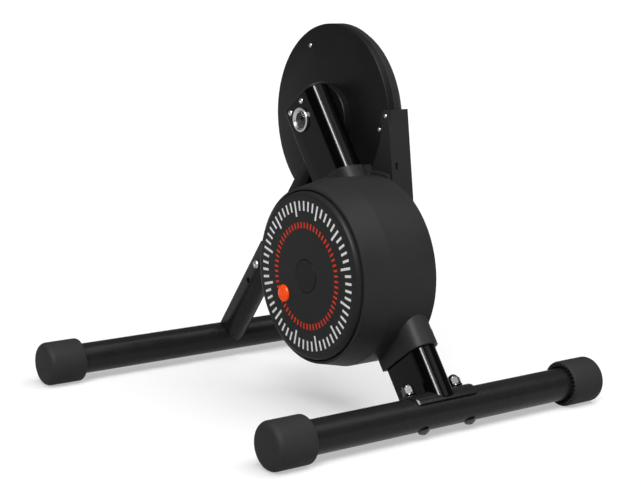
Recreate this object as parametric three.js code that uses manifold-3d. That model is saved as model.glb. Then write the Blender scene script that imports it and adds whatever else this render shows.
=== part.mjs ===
// Direct drive bike trainer: a D-section post carries the hollow axle, the belt pulley and the freehub,
// and a flywheel with its magnetic brake sits in the drum on the post's left side.
// Millimetres. +Z is up, +Y points forwards in the direction of travel, +X is the drive side,
// and the origin is on the floor under the middle of the footprint.
import * as THREE from "three";
import { mergeVertices } from "three/addons/utils/BufferGeometryUtils.js";
import Module from "manifold-3d";

const wasm = await Module();
wasm.setup();

// Fits, and how finely round pieces are faceted
const gap = 0.3; // between pieces that seat on each other
const runningGap = 0.8; // round what turns
const through = 500; // long enough to cut right through anything
const facets = 28;
const midFacets = 20;
const smallFacets = 10;
const hexagon = 6;

// Stance
const axleHeight = 340;
const axleForward = 28.5;
const footSpacing = 444;
const footTubeRadius = 19.5;
const footTubeWall = 2.5;
const rearFootHalfLength = 241;
const frontFootHalfLength = 282;
const footCapRadius = 27.5; // also the height of the foot tubes' centre lines
const footCapLength = 51;
const footCapEnd = 10; // rubber beyond the tube's end
const footCapRounding = 8;

// Post, a tube with flat sides, a flat front and a half-round back
const postFootOffset = 17.9; // how far the rear foot's centre lies behind the post's centre line
const postThickness = 34.4;
const postFront = 26.2; // from the centre line to the flat front
const postBack = 24.2; // from the centre line to where the half-round back begins
const postWall = 3;
const postAboveAxle = 25;
const postAboveFoot = 9;
const postCapThickness = 3.4;
const postCapPlug = 11;
const capScrewBelowTop = 5.7;
const capScrewFront = -15.7;
const capScrewBack = 12.4;
const capScrewRadius = 1.8;
const capScrewLength = 11.5;
const capScrewHeadRadius = 3.6;
const capScrewHead = 1.2;

// Front leg, the same kind of tube, bolted over a stub that is welded to the post
const legFootOffset = 41.4;
const legFront = 29; // from the leg's line through the axle to its flat front
const legDepth = 12.4; // of its flat sides
const legWall = 2;
const stubWall = 3;
const legTop = 187; // from the axle along the leg
const stubOverlap = 77; // how far the stub reaches into the leg
const legBoltInset = 31; // from the leg's top
const legHolePitch = 31;
const legBoltRadius = 3.9;
const legBoltHeadRadius = 5.6;
const legBoltHead = 3;
const legNutRadius = 7.5;
const legNutHeight = 6.5;
const legBoltBeyond = 2; // thread past the nut

// Foot saddle and its bolts
const saddleHalfLength = 46;
const saddleThickness = 3;
const saddleHalfAngle = 76; // degrees each side of the post's direction
const footBoltOffset = 34.55;
const footBoltRadius = 4;
const footBoltHeadRadius = 7.2;
const footBoltHead = 4.5;
const footWasherRadius = 8;
const footWasher = 1.6;
const footNutAcrossFlats = 13;
const footNutHex = 8;
const footNutDome = 5;

// Axle: the bare axle is 130 mm between the dropout faces
const overLocknut = 130;
const axleCollarRadius = 15;
const axleCollarProud = 3.3;
const axleBodyRadius = 13.5;
const axleBodyBeyondPost = 3;
const axleShaftRadius = 8.5;
const throughBore = 6.2;
const adapterBore = 10.4;
const adapterDepth = 18;
const axleBossWall = 3.6;
const endNutRadius = 12;
const endNutLength = 4;

// Large pulley's hub and the freehub
const hubBearingOuter = 17.5;
const hubBearingWidth = 10;
const hubBearingInset = 1.5;
const hubWall = 4.3;
const hubShoulder = 2; // between the right bearing and the ratchet
const splineDepth = 1.2;
const splineWidth = 4.4;
const splineCount = 9;
const splineLength = 35;
const barrelInset = 3.8; // from the barrel's end to the dropout face
const barrelWall = 2.6;
const freehubFlange = 2.4;
const freehubFlangeRim = 1.5;
const freehubBearingWall = 4.5;
const freehubBearingWidth = 8;
const ratchetLength = 8;
const ratchetToothCount = 24;
const ratchetToothDepth = 1.4;
const ratchetToothFace = 0.2; // of the tooth pitch, so that the face follows the nose's path
const pawlClearance = 0.45; // from the nose to its tooth
const ratchetRim = 2.4;
const pawlCount = 3;
const pawlHeel = 1.3; // radius
const pawlFloor = 1.7; // metal under the pawl's seat
const pawlReach = 6;
const pawlRise = 2.8;
const pawlRoom = 1.5; // free space past the nose

// Belt drive
const coverStandoff = 9.8; // from the post's right flat to the belt cover
const coverRim = 17;
const coverDepth = 27;
const coverWall = 2;
const coverDraw = 8.6; // how far the right half slopes in past its rim
const pulleyRadius = 104;
const smallPulleyRadius = 24;
const pulleyFlange = 1.8;
const pulleyFlangeRise = 1;
const pulleyRimDepth = 8;
const pulleyWeb = 5;
const webHoleRadius = 15;
const webHoleCount = 6;
const beltInset = 6; // from the cover's left face to the belt
const beltWidth = 12;
const beltThickness = 3;
const beltLift = 1.4; // clearance to the pulleys
const beltRoom = 6.2; // between the belt and the cover
const tailRoom = 5.5;
const hubBossRadius = 41.5;
const tailBossRadius = 28;
const coverScrewRadius = 1.5;
const coverScrewHeadRadius = 2.7;
const coverScrewHead = 1.2;
const coverScrewInset = 18.2;
const coverScrewAngles = [64, 184, 304];
const coverScrewDepth = 1.3; // past the cover's wall
const idlerRadius = 13;
const idlerPin = 4;
const idlerAlong = 0.62; // of the slack run's length
const armReach = 34;
const armInset = 12;
const armHalfWidth = 6;
const armEye = 8;
const pivotPin = 4;
const pivotHeadRadius = 7;
const pivotHead = 2.9;

// Belt guard, a bent plate behind the belt cover
const guardClearance = 0.4;
const guardWall = 2.3;
const guardAboveAxle = 18;
const guardNotchAboveAxle = 1;
const guardLip = 2.7;
const guardLipTop = [[7, 2], [12.3, 10]]; // inwards from the cover's rim, down from the guard's top
const guardLipSide = [[12.7, 19], [17, 35], [36.6, 65.5], [57, 93]]; // inwards, down the straight run
const guardLipEnd = 112;
const guardScrewInset = 3.1;
const guardScrewDown = 3.5;
const guardScrewBossRadius = 5;
const slotBelowAxle = 53;
const slotLength = 9;
const slotWidth = 3.5;
const slotInset = 3;

// Flywheel drum
const drumDown = 199.7; // from the axle, along the post
const drumInFront = 18.7; // of the post's centre line
const drumRadius = 112;
const drumTaper = 7.5; // smaller at the front lip
const drumDepth = 98.6;
const drumTaperDepth = 34.3;
const drumCrease = 1.5;
const drumCreaseDepth = 6;
const drumWall = 3;
const drumLip = 2;
const drumEdge = 1;
const collarThickness = 4.1; // the sleeve of the housing round the post
const collarTop = 85; // from the axle along the post
const collarLength = 243.5;
const collarDip = 7; // lower at the post's back, where the collar reaches the belt cover
const collarReach = 38.6; // rearwards, beside the belt cover
const shoulderRise = [3, 5.4]; // outside the drum, where its back closes up to the belt cover
const frontCoverInset = 5; // from the lip's outside to the cover's
const frontCoverProud = 6.7;
const frontCoverRounding = 6.5;
const frontCoverWall = 2.5;
const frontCoverRebate = 1.6;
const hubCapRadius = 19.6;
const hubCapThickness = 2.5;
const lensRadius = 10.4;
const lensHeight = 5;
const lensAt = 52.3;
const lensAngle = -31.8;
const flywheelClearance = 9.5;
const flywheelWeb = 8;
const flywheelWidth = 36;
const flywheelRim = 18;
const flywheelHub = 22;
const flywheelHubLength = 20;
const shaftRadius = 8.5;
const shaftCollar = 2.5;
const shaftCollarLength = 2.6;
const shaftRoom = 6; // from the front cover to the shaft's end
const shaftBeyondPulley = 6;
const shaftBearingOuter = 20;
const shaftBearingWidth = 12;
const shaftBearingInset = 0.6;
const shaftBossWall = 3.6;
const poleCount = 4;
const poleWidth = 22;
const poleShoe = 8;
const brakeAirGap = 2.5;
const brakeWidth = 14;
const brakeInset = 2; // from the flywheel's rim edge
const coreClearance = 5;
const coreRim = 10;
const coilWall = 6;
const bracketFlange = 7;
const bracketFlangeThickness = 4;

// Electronics
const boardLength = 68;
const boardWidth = 40;
const boardThickness = 1.6;
const boardFromPost = 60.5; // from the post's centre line to the board's, on its front side
const standoffRadius = 3.5;
const standoffLength = 7;
const inletAt = 88; // from the drum's centre
const inletAngle = -48;
const inletHalf = 6.5;
const inletFlange = 2;
const inletFlangeThickness = 1.2;
const inletBore = 4.6;
const inletDepth = 9;

const rad = THREE.MathUtils.degToRad;
const toRight = new THREE.Vector3(1, 0, 0);
const postHalf = postThickness / 2;
const leftEnd = -postHalf - axleCollarProud;
const rightEnd = leftEnd + overLocknut;
const rearY = -footSpacing / 2;
const frontY = footSpacing / 2;
const axlePoint = new THREE.Vector3(0, axleForward, axleHeight);
const rearPoint = new THREE.Vector3(0, rearY, footCapRadius);
const frontPoint = new THREE.Vector3(0, frontY, footCapRadius);

// A leaning tube's two directions in the YZ plane: along it upwards, and across it to its rear.
// Its line passes the axle, and the foot's centre lies `offset` behind that line.
function leaning(foot, offset) {
  const fromFoot = axlePoint.clone().sub(foot);
  const lean = Math.atan2(fromFoot.z, fromFoot.y) + Math.asin(offset / fromFoot.length());
  return {
    lean,
    along: new THREE.Vector3(0, Math.cos(lean), Math.sin(lean)),
    across: new THREE.Vector3(0, -Math.sin(lean), Math.cos(lean)),
  };
}
const post = leaning(rearPoint, postFootOffset);
const leg = leaning(frontPoint, legFootOffset);
const onTube = (tube, along, across, x = 0) =>
  axlePoint.clone().addScaledVector(tube.along, along).addScaledVector(tube.across, across).setX(x);
const drumPoint = onTube(post, -drumDown, -drumInFront);
const rearAlong = rearPoint.clone().sub(axlePoint).dot(post.along);
const frontAlong = frontPoint.clone().sub(axlePoint).dot(leg.along);

// A closed three.js geometry as a solid for cutting and joining
function solid(geometry, matrix) {
  const bare = new THREE.BufferGeometry();
  const source = geometry.index ? geometry.toNonIndexed() : geometry;
  bare.setAttribute("position", source.getAttribute("position").clone());
  bare.applyMatrix4(matrix);
  const merged = mergeVertices(bare, 1e-4);
  const at = merged.attributes.position.array;
  const faces = [];
  let volume = 0;
  for (let i = 0; i < merged.index.count; i += 3) {
    const [a, b, c] = merged.index.array.slice(i, i + 3);
    if (a === b || b === c || c === a) continue;
    faces.push(a, b, c);
    const [p, q, r] = [a, b, c].map((v) => new THREE.Vector3().fromArray(at, v * 3));
    volume += p.dot(q.cross(r));
  }
  if (volume < 0) faces.reverse();
  const mesh = new wasm.Mesh({ numProp: 3, vertProperties: at, triVerts: new Uint32Array(faces) });
  return new wasm.Manifold(mesh);
}

function geometryOf(made) {
  const mesh = made.getMesh();
  const geometry = new THREE.BufferGeometry();
  geometry.setAttribute("position", new THREE.BufferAttribute(mesh.vertProperties, 3));
  geometry.setIndex(new THREE.BufferAttribute(mesh.triVerts, 1));
  return geometry.toNonIndexed();
}

const join = (first, ...rest) => rest.reduce((made, next) => made.add(next), first);
const cut = (first, ...rest) => rest.reduce((made, next) => made.subtract(next), first);
const placed = (x, y, z, origin) => new THREE.Matrix4().makeBasis(x, y, z).setPosition(origin);
const unitY = new THREE.Vector3(0, 1, 0);
const unitZ = new THREE.Vector3(0, 0, 1);

// Solid of revolution about the line through `centre` along X; points are [radius, x]
function turned(points, centre, sides = facets) {
  const profile = points.map(([radius, x]) => new THREE.Vector2(radius, x));
  if (points[0][0] > 0) profile.push(profile[0].clone());
  const geometry = new THREE.LatheGeometry(profile, sides, Math.PI / sides);
  const origin = new THREE.Vector3(0, centre.y, centre.z);
  return solid(geometry, placed(unitY, toRight, unitZ.clone().negate(), origin));
}
const rod = (radius, x0, x1, centre, sides) =>
  turned([[0, x0], [radius, x0], [radius, x1], [0, x1]], centre, sides);
const ring = (inner, outer, x0, x1, centre, sides) =>
  turned([[inner, x0], [outer, x0], [outer, x1], [inner, x1]], centre, sides);
const hole = (radius, centre, sides) => rod(radius, -through, through, centre, sides);

// A flat outline in Y and Z, as thick as x0 to x1
function plate(shape, x0, x1) {
  const settings = { depth: x1 - x0, bevelEnabled: false, curveSegments: 10 };
  const geometry = new THREE.ExtrudeGeometry(shape, settings);
  return solid(geometry, placed(unitY, unitZ, toRight, new THREE.Vector3(x0, 0, 0)));
}
const polygon = (points) => new THREE.Shape(points.map(([y, z]) => new THREE.Vector2(y, z)));

// A block in a tube's own directions, with its ranges measured from the axle
function leaningBlock(tube, [x0, x1], [along0, along1], [across0, across1]) {
  const geometry = new THREE.BoxGeometry(x1 - x0, along1 - along0, across1 - across0);
  geometry.translate((x0 + x1) / 2, (along0 + along1) / 2, (across0 + across1) / 2);
  return solid(geometry, placed(toRight, tube.along, tube.across, axlePoint));
}
function block([x0, x1], [y0, y1], [z0, z1]) {
  const geometry = new THREE.BoxGeometry(x1 - x0, y1 - y0, z1 - z0);
  return solid(geometry, new THREE.Matrix4().makeTranslation((x0 + x1) / 2, (y0 + y1) / 2, (z0 + z1) / 2));
}
const boxRound = (point, half, x0, x1) =>
  block([x0, x1], [point.y - half, point.y + half], [point.z - half, point.z + half]);

// The D-section of a post or leg, grown by `grow`, run along it between two distances from the axle
function dPrism(tube, front, back, grow, from, to) {
  const half = postHalf + grow;
  const shape = new THREE.Shape();
  shape.moveTo(front - grow, -half);
  shape.lineTo(back, -half);
  shape.absarc(back, 0, half, -Math.PI / 2, Math.PI / 2, false);
  shape.lineTo(front - grow, half);
  shape.closePath();
  const geometry = new THREE.ExtrudeGeometry(shape, {
    depth: to - from,
    bevelEnabled: false,
    curveSegments: 5,
  });
  return solid(geometry, placed(tube.across, toRight, tube.along, onTube(tube, from, 0)));
}
const postPrism = (grow, from, to) => dPrism(post, -postFront, postBack, grow, from, to);
const legPrism = (grow, from, to) => dPrism(leg, legFront, legFront + legDepth, grow, from, to);

// A round bar from a point along a direction
function bar(radius, from, direction, length, sides = smallFacets) {
  const geometry = new THREE.CylinderGeometry(radius, radius, length, sides);
  geometry.translate(0, length / 2, 0);
  const turn = new THREE.Quaternion().setFromUnitVectors(unitY, direction);
  return solid(geometry, new THREE.Matrix4().makeRotationFromQuaternion(turn).setPosition(from));
}

// Copies of a solid, turned in even steps about the line through `centre` along X
const around = (made, count, centre) =>
  Array.from({ length: count }, (_, i) =>
    made
      .translate([0, -centre.y, -centre.z])
      .rotate([(360 / count) * i, 0, 0])
      .translate([0, centre.y, centre.z]),
  );

// Materials
const finish = (color, roughness, metalness) =>
  new THREE.MeshStandardMaterial({ color, roughness, metalness });
const blackPaint = finish(0x141415, 0.35, 0.3);
const blackPlastic = finish(0x1b1b1c, 0.55, 0);
const rubber = finish(0x202022, 0.85, 0);
const steel = finish(0xb9bbbd, 0.3, 1);
const zinc = finish(0xc9cbce, 0.35, 1);
const aluminium = finish(0xa9abad, 0.4, 1);
const castIron = finish(0x3a3b3d, 0.6, 0.8);
const copper = finish(0xa8632f, 0.4, 1);
const beltRubber = finish(0x18181a, 0.8, 0);
const orange = finish(0xf15a1e, 0.4, 0);
const solderMask = finish(0x1d5b35, 0.5, 0);

const trainer = new THREE.Group();
function piece(name, made, material) {
  const mesh = new THREE.Mesh(geometryOf(made), material);
  mesh.name = name;
  trainer.add(mesh);
}

// Foot caps: rubber cups pushed on the tubes' ends, with a flat facet on the floor
function footCap(name, centre, halfLength, sign) {
  const flatRadius = footCapRadius / Math.cos(Math.PI / midFacets);
  const socket = footTubeRadius + gap;
  const mouth = halfLength - footCapLength;
  const floor = halfLength - footCapEnd + gap;
  const halfway = footCapRounding * (1 - Math.SQRT1_2);
  const profile = [
    [0, floor],
    [socket, floor],
    [socket, mouth],
    [flatRadius, mouth],
    [flatRadius, halfLength - footCapRounding],
    [flatRadius - halfway, halfLength - halfway],
    [flatRadius - footCapRounding, halfLength],
    [0, halfLength],
  ];
  const placedProfile = profile.map(([radius, x]) => [radius, sign * x]);
  piece(name, turned(placedProfile, centre, midFacets), rubber);
}
for (const [side, sign] of [["left", -1], ["right", 1]]) {
  footCap(`rear_foot_cap_${side}`, rearPoint, rearFootHalfLength, sign);
  footCap(`front_foot_cap_${side}`, frontPoint, frontFootHalfLength, sign);
}
const footTube = (centre, halfLength) => {
  const end = halfLength - footCapEnd;
  return ring(footTubeRadius - footTubeWall, footTubeRadius, -end, end, centre, midFacets);
};

// Rear foot: two bolts run up through the tube and the saddle plate, parallel to the post
const onBolt = (x, from) => rearPoint.clone().setX(x).addScaledVector(post.along, from);
const footBolts = [["left", -footBoltOffset], ["right", footBoltOffset]];
const footBoltHoles = footBolts.map(([, x]) =>
  bar(footBoltRadius + gap, onBolt(x, -through / 2), post.along, through),
);
piece("rear_crossbar", cut(footTube(rearPoint, rearFootHalfLength), ...footBoltHoles), blackPaint);
piece("front_crossbar", footTube(frontPoint, frontFootHalfLength), blackPaint);

// Saddle plate bent round the top of the rear tube
const saddleInner = footTubeRadius + gap;
const saddleOuter = saddleInner + saddleThickness;
function saddlePlate() {
  const shape = new THREE.Shape();
  const start = post.lean - rad(saddleHalfAngle);
  const end = post.lean + rad(saddleHalfAngle);
  shape.absarc(rearPoint.y, rearPoint.z, saddleOuter, start, end, false);
  shape.absarc(rearPoint.y, rearPoint.z, saddleInner, end, start, true);
  return plate(shape, -saddleHalfLength, saddleHalfLength);
}
piece("saddle_plate", cut(saddlePlate(), ...footBoltHoles), blackPaint);

// Foot bolts with their washers and dome nuts
const footHeadSeat = -footTubeRadius - gap;
const footWasherSeat = saddleOuter + gap;
const footNutSeat = footWasherSeat + footWasher + gap;
const footNutHeight = footNutHex + footNutDome;
const footBoltEnd = footNutSeat + footNutHex;
for (const [side, x] of footBolts) {
  const boltBar = (radius, from, to, sides) => bar(radius, onBolt(x, from), post.along, to - from, sides);
  const shank = boltBar(footBoltRadius, footHeadSeat - footBoltHead / 2, footBoltEnd);
  const head = boltBar(footBoltHeadRadius, footHeadSeat - footBoltHead, footHeadSeat);
  piece(`foot_bolt_${side}`, join(head, shank), blackPaint);
  const bore = boltBar(footBoltRadius + gap, 0, footBoltEnd + gap);
  const washer = boltBar(footWasherRadius, footWasherSeat, footWasherSeat + footWasher);
  piece(`foot_washer_${side}`, cut(washer, bore), blackPaint);
  const nut = boltBar(footNutAcrossFlats / 2 / Math.cos(Math.PI / hexagon), footNutSeat,
    footNutSeat + footNutHex, hexagon);
  const shoulder = boltBar(footNutAcrossFlats * 0.47, footNutSeat, footNutSeat + footNutHeight - 3);
  const crown = boltBar(footNutAcrossFlats / 3, footNutSeat, footNutSeat + footNutHeight);
  piece(`foot_nut_${side}`, cut(join(nut, shoulder, crown), bore), blackPaint);
}

// Post: the D-section tube coped over the saddle plate, its two cross bosses and the leg's stub
const postBottom = rearAlong + postAboveFoot;
const axleSeat = axleBodyRadius + gap;
const axleBoss = axleSeat + axleBossWall;
const shaftSeat = shaftBearingOuter + gap;
const shaftBoss = shaftSeat + shaftBossWall;
const capScrewPoints = [capScrewBack, capScrewFront].map((across) =>
  onTube(post, postAboveAxle - capScrewBelowTop, across, -postHalf),
);
const capScrewHoles = capScrewPoints.map((point) =>
  bar(capScrewRadius + gap, point.clone().setX(-postHalf - 1), toRight, capScrewLength + 1 + gap),
);
const postShell = cut(
  postPrism(0, postBottom, postAboveAxle),
  postPrism(-postWall, postBottom - through, postAboveAxle + through),
);
const legCentre = legFront + (legDepth + postHalf) / 2 - 2;
const legBoltPoint = onTube(leg, -legTop - legBoltInset, legCentre);
const legSparePoint = onTube(leg, -legTop - legBoltInset - legHolePitch, legCentre);
const legBoltHole = hole(legBoltRadius + gap, legBoltPoint, smallFacets);
const legSpareHole = rod(legBoltRadius, -through, 0, legSparePoint, smallFacets);
const stubInset = -legWall - gap;
const stubEnd = -legTop - stubOverlap;
const legStub = cut(
  legPrism(stubInset, stubEnd, 0),
  legPrism(stubInset - stubWall, stubEnd - 1, 0),
  legBoltHole,
  legSpareHole,
).subtract(
  leaningBlock(post, [-through, through], [-through, through], [-postFront + postWall / 2, through]),
);
piece(
  "main_post",
  cut(
    join(
      postShell,
      legStub,
      rod(axleBoss, -postHalf, postHalf, axlePoint, midFacets),
      rod(shaftBoss, -postHalf, postHalf, drumPoint, midFacets),
    ),
    hole(axleSeat, axlePoint, midFacets),
    hole(shaftSeat, drumPoint, midFacets),
    hole(saddleOuter + gap, rearPoint),
    ...capScrewHoles,
  ),
  blackPaint,
);

// Post cap: a thin plate with a plug, held by two screws
const postTop = postAboveAxle + gap;
piece(
  "post_top_cap",
  cut(
    join(
      postPrism(0, postTop, postTop + postCapThickness),
      postPrism(-postWall - gap, postAboveAxle - postCapPlug, postTop + 1),
    ),
    hole(axleBoss + gap, axlePoint),
    ...capScrewHoles,
  ),
  blackPlastic,
);
capScrewPoints.forEach((point, i) => {
  const seat = -postHalf - gap;
  const shank = bar(capScrewRadius, point.clone().setX(seat - capScrewHead / 2), toRight, capScrewLength);
  const head = bar(capScrewHeadRadius, point.clone().setX(seat - capScrewHead), toRight, capScrewHead);
  piece(`cap_screw_${i + 1}`, join(head, shank), zinc);
});

// Leg: a sleeve over the stub that ends on the front crossbar
piece(
  "front_leg",
  cut(
    legPrism(0, frontAlong, -legTop),
    legPrism(-legWall, frontAlong - 1, -legTop + 1),
    hole(footTubeRadius + gap, frontPoint),
    legBoltHole,
    legSpareHole,
  ),
  blackPaint,
);
const legSide = postHalf + gap;
const legBoltEnd = legSide + legNutHeight + legBoltBeyond;
piece(
  "leg_bolt",
  join(
    rod(legBoltHeadRadius, -legSide - legBoltHead, -legSide, legBoltPoint, smallFacets),
    rod(legBoltRadius, -legSide - legBoltHead / 2, legBoltEnd, legBoltPoint, smallFacets),
  ),
  zinc,
);
piece(
  "leg_nut",
  cut(rod(legNutRadius, legSide, legSide + legNutHeight, legBoltPoint, hexagon), legBoltHole),
  zinc,
);

// Axle: collar on the left, body in the post, shaft for the bearings, bore right through
piece(
  "axle",
  turned(
    [
      [adapterBore, leftEnd],
      [axleCollarRadius, leftEnd],
      [axleCollarRadius, -postHalf - gap],
      [axleBodyRadius, -postHalf - gap],
      [axleBodyRadius, postHalf + axleBodyBeyondPost],
      [axleShaftRadius, postHalf + axleBodyBeyondPost],
      [axleShaftRadius, rightEnd],
      [throughBore, rightEnd],
      [throughBore, leftEnd + adapterDepth],
      [adapterBore, leftEnd + adapterDepth],
    ],
    axlePoint,
    midFacets,
  ),
  steel,
);
const bearingBore = axleShaftRadius + gap;
const endNut = ring(bearingBore, endNutRadius, rightEnd - endNutLength, rightEnd, axlePoint, midFacets);
piece("axle_end_nut", endNut, steel);

// Along the axle from the cover to the right dropout face
const coverFace = postHalf + coverStandoff;
const barrelEnd = rightEnd - barrelInset;
const barrelStart = barrelEnd - splineLength;
const flangeStart = barrelStart - freehubFlange;
const hubStart = coverFace + coverWall + 1;
const hubEnd = flangeStart - runningGap;
const ratchetStart = hubEnd - ratchetLength;
const hubBearingStarts = [hubStart + hubBearingInset, ratchetStart - hubShoulder - hubBearingWidth];

// Outwards from the shaft: the freehub's tail with its pawls, the ratchet and the pulley's hub
const freehubBore = axleShaftRadius + runningGap;
const pawlSeat = freehubBore + pawlFloor + gap + pawlHeel;
const tailRadius = pawlSeat + pawlHeel + gap;
const ratchetTip = tailRadius + ratchetToothDepth;
const ratchetRoot = ratchetTip + ratchetToothDepth;
const ratchetOuter = ratchetRoot + ratchetRim;
const hubSeat = hubBearingOuter + gap;
const hubOuter = ratchetOuter + gap + hubWall;

// Belt pulleys: a plain rim between two flanges
const beltLeft = coverFace + beltInset;
const beltRight = beltLeft + beltWidth;
const beltMiddle = (beltLeft + beltRight) / 2;
const rimLeft = beltLeft - pulleyFlange;
const rimRight = beltRight + pulleyFlange;
function beltPulley(radius, bore, centre, sides) {
  const flange = radius + pulleyFlangeRise;
  return turned(
    [
      [bore, rimLeft],
      [flange, rimLeft],
      [flange, beltLeft - runningGap],
      [radius, beltLeft - runningGap],
      [radius, beltRight + runningGap],
      [flange, beltRight + runningGap],
      [flange, rimRight],
      [bore, rimRight],
    ],
    centre,
    sides,
  );
}
const pulleyRimInner = pulleyRadius - pulleyRimDepth;
const webHolePoint = axlePoint.clone().add(new THREE.Vector3(0, 0, (hubOuter + pulleyRimInner) / 2));
const webLeft = beltMiddle - pulleyWeb / 2;
piece(
  "large_pulley",
  cut(
    join(
      beltPulley(pulleyRadius, pulleyRimInner, axlePoint, facets),
      ring(hubSeat, pulleyRimInner + 1, webLeft, webLeft + pulleyWeb, axlePoint),
      ring(hubSeat, hubOuter, hubStart, hubEnd, axlePoint, midFacets),
    ),
    rod(ratchetOuter + gap, ratchetStart, hubEnd + 1, axlePoint, midFacets),
    ...around(hole(webHoleRadius, webHolePoint, smallFacets), webHoleCount, axlePoint),
  ),
  aluminium,
);
["left", "right"].forEach((side, i) => {
  const start = hubBearingStarts[i];
  const bearing = ring(bearingBore, hubBearingOuter, start, start + hubBearingWidth, axlePoint, midFacets);
  piece(`hub_bearing_${side}`, bearing, steel);
});

// Ratchet ring: saw teeth on its bore, one of them just short of the first pawl's nose
const noseAngle = Math.atan2(pawlSeat + pawlRise, pawlReach);
const noseRadius = Math.hypot(pawlSeat + pawlRise, pawlReach);
const toothPitch = (2 * Math.PI) / ratchetToothCount;
const faceAtNose = (toothPitch * ratchetToothFace * (noseRadius - ratchetTip)) / ratchetToothDepth;
const firstTooth = noseAngle - faceAtNose - pawlClearance / noseRadius;
function ratchetOutline() {
  const shape = new THREE.Shape();
  shape.absarc(axlePoint.y, axlePoint.z, ratchetOuter, 0, 2 * Math.PI, false);
  const corners = [];
  for (let i = 0; i < ratchetToothCount; i += 1) {
    for (const [turn, radius] of [[0, ratchetTip], [ratchetToothFace, ratchetRoot]]) {
      const angle = firstTooth + (i + turn) * toothPitch;
      const y = axlePoint.y + radius * Math.cos(angle);
      corners.push(new THREE.Vector2(y, axlePoint.z + radius * Math.sin(angle)));
    }
  }
  shape.holes.push(new THREE.Path(corners));
  return shape;
}
piece("ratchet_ring", plate(ratchetOutline(), ratchetStart + gap, hubEnd - gap), steel);

// Freehub body: a tail with the pawls' seats, a flange, and the splined barrel for the sprockets
const tailStart = ratchetStart + gap;
const pawlEnd = flangeStart - 2 * gap;
const pawlPoint = axlePoint.clone().add(new THREE.Vector3(0, 0, pawlSeat));
const freehubBearingOuter = axleShaftRadius + freehubBearingWall;
const splineRoot = freehubBearingOuter + gap + barrelWall;
const splineRadius = splineRoot + splineDepth;
const pawlPocket = join(
  rod(pawlHeel + gap, tailStart - 1, pawlEnd + gap, pawlPoint, smallFacets),
  block(
    [tailStart - 1, pawlEnd + gap],
    [pawlPoint.y, pawlPoint.y + pawlReach + pawlRoom],
    [pawlPoint.z - pawlHeel - gap, pawlPoint.z + pawlHeel + pawlRise],
  ),
);
const splineCut = block(
  [barrelStart, barrelEnd + 1],
  [axlePoint.y - splineWidth / 2, axlePoint.y + splineWidth / 2],
  [axlePoint.z + splineRoot, axlePoint.z + splineRadius + splineDepth],
);
piece(
  "freehub_body",
  cut(
    join(
      rod(tailRadius, tailStart, flangeStart + 1, axlePoint),
      rod(splineRadius + freehubFlangeRim, flangeStart, barrelStart, axlePoint),
      rod(splineRadius, barrelStart - 1, barrelEnd, axlePoint),
    ),
    hole(freehubBore, axlePoint, midFacets),
    rod(freehubBearingOuter + gap, barrelStart, barrelEnd + 1, axlePoint, midFacets),
    ...around(splineCut, splineCount, axlePoint),
    ...around(pawlPocket, pawlCount, axlePoint),
  ),
  aluminium,
);
for (const [side, start] of [
  ["left", barrelStart + gap],
  ["right", rightEnd - endNutLength - gap - freehubBearingWidth],
]) {
  const end = start + freehubBearingWidth;
  const bearing = ring(bearingBore, freehubBearingOuter, start, end, axlePoint, midFacets);
  piece(`freehub_bearing_${side}`, bearing, steel);
}

// Pawls: a round heel in its seat and a nose that lifts into the ratchet's teeth
const pawlNose = polygon([
  [pawlPoint.y, pawlPoint.z - pawlHeel],
  [pawlPoint.y + pawlReach - 1, pawlPoint.z],
  [pawlPoint.y + pawlReach, pawlPoint.z + pawlRise],
  [pawlPoint.y, pawlPoint.z + pawlHeel],
]);
const pawl = join(
  rod(pawlHeel, tailStart + gap, pawlEnd, pawlPoint, smallFacets),
  plate(pawlNose, tailStart + gap, pawlEnd),
);
around(pawl, pawlCount, axlePoint).forEach((made, i) => piece(`pawl_${i + 1}`, made, steel));

// Flywheel shaft on two bearings in the post, with the small pulley on its right end
const housingBack = postHalf + collarThickness;
const drumFront = housingBack - drumDepth;
const frontCoverFace = drumFront - frontCoverProud;
const shaftLeft = frontCoverFace + frontCoverWall + shaftRoom;
const shaftRight = rimRight + shaftBeyondPulley - pulleyFlange;
const shaftCollarEnd = -postHalf - gap;
const shaftCollarStart = shaftCollarEnd - shaftCollarLength;
piece(
  "flywheel_shaft",
  join(
    rod(shaftRadius, shaftLeft, shaftRight, drumPoint, midFacets),
    rod(shaftRadius + shaftCollar, shaftCollarStart, shaftCollarEnd, drumPoint, midFacets),
  ),
  steel,
);
for (const [side, start] of [
  ["left", -postHalf + shaftBearingInset],
  ["right", postHalf - shaftBearingInset - shaftBearingWidth],
]) {
  const end = start + shaftBearingWidth;
  const bearing = ring(shaftRadius + gap, shaftBearingOuter, start, end, drumPoint, midFacets);
  piece(`shaft_bearing_${side}`, bearing, steel);
}
piece("small_pulley", beltPulley(smallPulleyRadius, shaftRadius + gap, drumPoint, midFacets), steel);

// Flywheel: a heavy cup, open to the right, round the brake
const drumLipRadius = drumRadius - drumTaper;
const flywheelRadius = drumLipRadius - drumWall - flywheelClearance;
const flywheelRimInner = flywheelRadius - flywheelRim;
const flywheelLeft = shaftLeft + hubBearingInset;
const flywheelRight = flywheelLeft + flywheelWidth;
const flywheelInside = flywheelLeft + flywheelWeb;
piece(
  "flywheel",
  turned(
    [
      [shaftRadius + gap, flywheelLeft],
      [flywheelRadius, flywheelLeft],
      [flywheelRadius, flywheelRight],
      [flywheelRimInner, flywheelRight],
      [flywheelRimInner, flywheelInside],
      [flywheelHub, flywheelInside],
      [flywheelHub, flywheelLeft + flywheelHubLength],
      [shaftRadius + gap, flywheelLeft + flywheelHubLength],
    ],
    drumPoint,
  ),
  castIron,
);

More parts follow.
